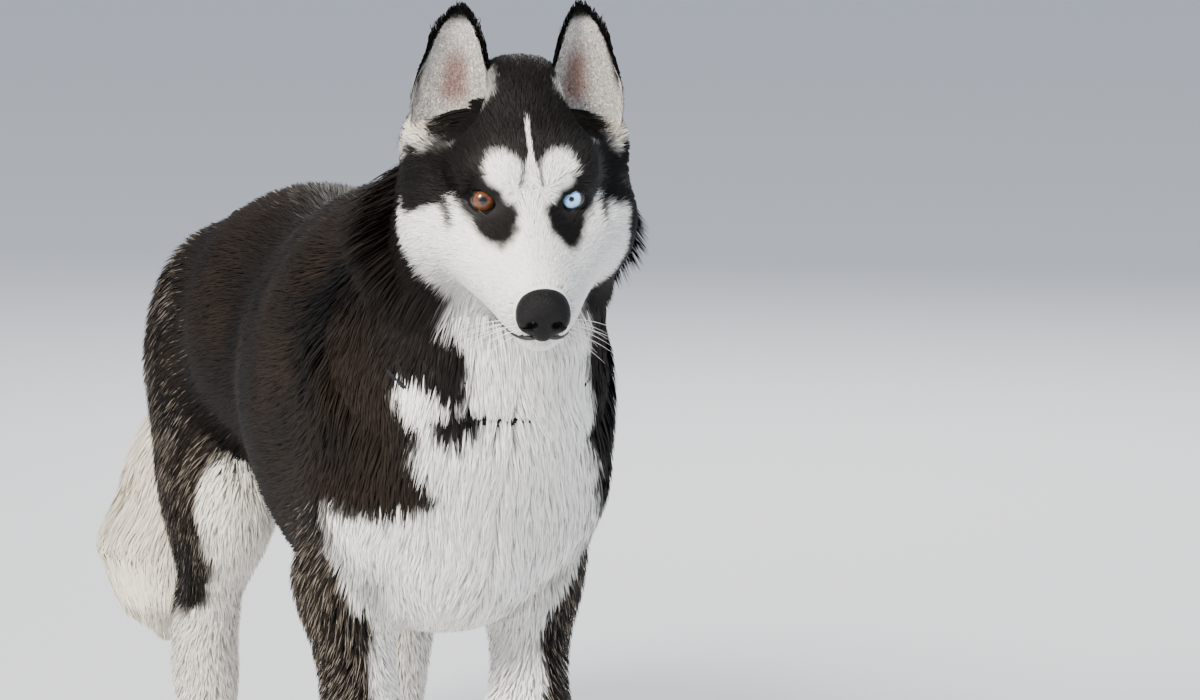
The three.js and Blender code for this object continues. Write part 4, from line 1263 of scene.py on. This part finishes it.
slender = 1.0 + 1.3 * ramp(-centres[:, 2], -240, -60)
for name, s, fore, hind in (("left", 1, FORE_LEFT, HIND_LEFT), ("right", -1, FORE_RIGHT, HIND_RIGHT)):
    region(f"coat_foreleg_{name}", main == fore, slender, 20000, leg_length, leg_width, leg_unwrap,
           shape=SHORT_TUFT, clump=6.0, pull=0.35)
    region(f"coat_hindleg_{name}", main == hind, slender, 29000, leg_length, leg_width, leg_unwrap,
           shape=SHORT_TUFT, clump=7.0, pull=0.35)
region("coat_tail", (main == TAIL) & (tri_normals[:, 2] > -0.7), ones, 27000, tail_length, even(2.2),
       tail_unwrap, clump=12.0, pull=0.5, sway=0.24, hold=tail_hold)


# Ears: short outside, long and soft inside.
for (ear_points, ear_faces, ear_marks), s, name in zip(ear_sets, PAIR, ("left", "right")):
    ear_triangles = split(ear_faces)
    a, b, c = (ear_points[ear_triangles[:, k]] for k in range(3))
    facing = unit(np.cross(b - a, c - a))
    marks = ear_marks[ear_triangles].mean(axis=1)
    keep = (marks[:, 0] > -0.02) & (marks[:, 0] < 0.995)
    ear_triangles, marks, facing = ear_triangles[keep], marks[keep], facing[keep]
    count = int(18000 * FULLNESS)
    where, corner = scatter(ear_points, ear_triangles, np.where(marks[:, 2] > 0.5, 1.3, 1.0), count)
    mix = ear_triangles[where]
    roots = np.einsum("nk,nki->ni", corner, ear_points[mix])
    own = np.einsum("nk,nki->ni", corner, ear_marks[mix])
    inside = own[:, 2] > 0.5
    up = from_head([[0, 0, 1.0]] @ ear_frame(s).T) - EYE_MID
    across = from_head([[1.0, 0, 0]] @ ear_frame(s).T) - EYE_MID
    lean_in = np.where(inside, -1.1 * (1 - ramp(own[:, 0], 0.5, 0.9)), 0.25) * own[:, 1]
    ways = np.repeat(up, count, axis=0) + across * lean_in[:, None]
    edge = ramp(np.abs(own[:, 1]), 0.5, 1.0) * (1 - ramp(own[:, 0], 0.3, 0.75))
    length = np.where(inside, 15.0 + 17.0 * edge, 8.0) * (1 - 0.5 * ramp(own[:, 0], 0.6, 1.0))
    uv = unwrapped((0.48 * (own[:, 1] * 0.5 + 0.5) + 0.5 * inside) / 0.98, own[:, 0])
    colour = ear_colour(own)
    # Inside, the tips are paler and the roots pinker and darker: partly the pink skin between the strands,
    # partly painted shade between them.
    dark_rim = ramp(np.abs(own[:, 1]), 0.72, 0.88) * ramp(own[:, 0], 0.3, 0.5)
    pale = (inside * (1 - ramp(own[:, 0], 0.84, 0.92)) * (1 - dark_rim) * 0.4)[:, None]
    tip = colour * (1 - pale) + WHITE * pale
    colour = colour * (1 - 0.5 * pale) + PINK * 0.5 * pale
    grow(f"coat_ear_{name}", roots, facing[where], ways, length, np.full(count, 1.0) / math.sqrt(FULLNESS),
         np.where(inside, 4.4, 1.8), colour, uv, tip, shape=SHORT_TUFT, clump=7.0, pull=0.55, sway=0.24,
         root_painted_shade=0.5, fitted=False, vary=0.2)


# Collar: a thin strap round the neck, mostly under the hair.

STRAP_STEPS = 144
STRAP_OUTLINE = ((-1.0, -9.4), (0.2, -10), (1.2, -9.4), (1.6, -8.6), (1.6, 8.6), (1.2, 9.4), (0.2, 10),
                 (-1.0, 9.4))
angles = np.linspace(0, 2 * math.pi, STRAP_STEPS, endpoint=False)
ways = np.stack([np.cos(angles), np.sin(angles), 0 * angles], axis=1) @ STRAP_LEAN.T
reach = np.full(len(ways), 20.0)
for _ in range(80):
    here = STRAP_MIDDLE + ways * reach[:, None]
    core = trunk_coat(here) + 14.0 * ramp(-here[:, 1], 188, 232) * ramp(here[:, 2], 318, 366)
    reach += np.maximum(-core, 0) * 0.7
sunk = 13.0 * ramp(ways[:, 1], -0.2, 0.3) - 3.0 * ramp(-ways[:, 1], 0.3, 0.8)
ring = np.stack([STRAP_MIDDLE + ways * (reach + out - 0.4 - sunk)[:, None] + STRAP_UP * over
                 for out, over in STRAP_OUTLINE], axis=1).reshape(-1, 3)
strap_faces = ring_faces(STRAP_STEPS + 1, len(STRAP_OUTLINE))[:, [0, 3, 2, 1]] % len(ring)
strap = make_mesh("collar_strap_webbing", ring, strap_faces, STRAP, slot="collar_strap")
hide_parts("collar")


# Claws, whiskers and lips.

def tube(line, radii, sides):
    """Points and faces of a tapering tube along a line of points."""
    line = np.asarray(line, dtype=float)
    way = unit(np.gradient(line, axis=0))
    side = unit(np.cross(way, np.array([0.31, 0.17, 0.93])))
    up = np.cross(side, way)
    a = np.linspace(0, 2 * math.pi, sides, endpoint=False)
    round_line = side[:, None] * np.cos(a)[None, :, None] + up[:, None] * np.sin(a)[None, :, None]
    rings = line[:, None] + round_line * np.asarray(radii)[:, None, None]
    return rings.reshape(-1, 3), ring_faces(len(line), sides)


nails = []
for x, y in ((FOREPAW[0], FOREPAW[1]), (-FOREPAW[0], FOREPAW[1]), HINDPAWS[1], HINDPAWS[-1]):
    for aside, ahead in TOES:
        t = np.linspace(0, 1, 7)
        nail = [np.full(7, x + aside * 1.03), y - ahead - 9 - 16 * t, 13.5 - 7.5 * t - 2.0 * t * t]
        nails.append(tube(np.stack(nail, axis=1), 3.0 * (1 - t) ** 0.6 + 0.4, 8))
make_mesh("claws", *gather(nails), CLAW)

lips = [tube(line, 1.6 * np.sin(np.linspace(0.6, math.pi - 0.25, 40)) + 0.3, 6) for line in lip_lines[:2]]
lips.append(tube(lip_lines[2], np.full(6, 1.3), 6))
make_mesh("lips", *gather(lips), LIDS)

hairs = []
down_and_back = np.array([0, 0, -1.0]) + from_head([0, 1, 0]) - EYE_MID
for s in PAIR:
    for i in range(9):
        row, place = divmod(i, 3)
        t = np.linspace(0, 1, 7)
        start = np.array([s * (15 + 2.2 * place), -88 + 9 * place, -60 - 4.5 * row])
        start = settle(skin, from_head(start)[None], 4)[0]
        out = unit((from_head([[s * 1.0, 0.25 + 0.12 * place, -0.25 - 0.18 * row]]) - EYE_MID))[0]
        long = 32 + 14 * random.random()
        line = start + np.outer(t * long, out) + np.outer(t * t * 12, down_and_back)
        hairs.append(tube(line, 0.34 * (1 - t) + 0.06, 4))
make_mesh("whiskers", *gather(hairs), WHISKER)


# Floor, light and camera.

floor_material, _, _, floor_shader = nodes_of("pale_floor")
floor_shader.inputs["Base Color"].default_value = (0.72, 0.73, 0.75, 1)
floor_shader.inputs["Roughness"].default_value = 0.9
floor_mesh = bpy.data.meshes.new("floor")
FLOOR_HALF = 14
floor_corners = [(x * FLOOR_HALF, y * FLOOR_HALF, 0) for x, y in ((-1, -1), (1, -1), (1, 1), (-1, 1))]
floor_mesh.from_pydata(floor_corners, [], [(0, 1, 2, 3)])
floor_mesh.materials.append(floor_material)
floor = bpy.data.objects.new("floor", floor_mesh)
bpy.context.scene.collection.objects.link(floor)

world = bpy.data.worlds.new("studio")
world.use_nodes = True
world.node_tree.nodes["Background"].inputs["Color"].default_value = (0.80, 0.87, 1.0, 1)
world.node_tree.nodes["Background"].inputs["Strength"].default_value = 0.75
bpy.context.scene.world = world


def lamp(name, place, aim, size, power, colour):
    light = bpy.data.lights.new(name, "AREA")
    light.shape = "DISK"
    light.size = size
    light.energy = power
    light.color = colour
    item = bpy.data.objects.new(name, light)
    item.location = place
    item.rotation_euler = (Vector(aim) - Vector(place)).to_track_quat("-Z", "Y").to_euler()
    bpy.context.scene.collection.objects.link(item)


lamp("key", (-2.6, -2.4, 2.6), (0, -0.1, 0.45), 1.0, 430, (1.0, 0.95, 0.87))
lamp("fill", (2.6, -2.6, 1.4), (0, -0.1, 0.45), 2.2, 45, (0.82, 0.9, 1.0))
lamp("rim", (1.6, 2.8, 2.4), (0, 0, 0.5), 1.6, 110, (1.0, 0.97, 0.92))

# The picture is measured in pixels from its top left. EYE_PIXEL is the middle between the eyes.
CAMERA_TURN, CAMERA_RISE, CAMERA_AWAY = math.radians(-20), math.radians(7.5), 5.0
PICTURE = (1200, 700)
SENSOR = 36.0
FOCAL = 1.31 * CAMERA_AWAY * 1000
EYE_PIXEL = (528.5, 201.5)
level = math.cos(CAMERA_RISE)
back = np.array([math.sin(CAMERA_TURN) * level, -math.cos(CAMERA_TURN) * level, math.sin(CAMERA_RISE)])
ahead = -back
right = np.cross(ahead, [0, 0, 1.0])
right /= np.linalg.norm(right)
up = np.cross(right, ahead)
line_of_sight = (ahead + right * (EYE_PIXEL[0] - PICTURE[0] / 2) / FOCAL
                 - up * (EYE_PIXEL[1] - PICTURE[1] / 2) / FOCAL)
camera_data = bpy.data.cameras.new("camera")
camera_data.sensor_width = SENSOR
camera_data.lens = FOCAL * SENSOR / PICTURE[0]
camera_data.clip_end = 100
camera = bpy.data.objects.new("camera", camera_data)
camera.location = Vector(placed(EYE_MID) - line_of_sight * CAMERA_AWAY)
camera.rotation_euler = Matrix(np.stack([right, up, back], axis=1).tolist()).to_euler()
bpy.context.scene.collection.objects.link(camera)
bpy.context.scene.camera = camera
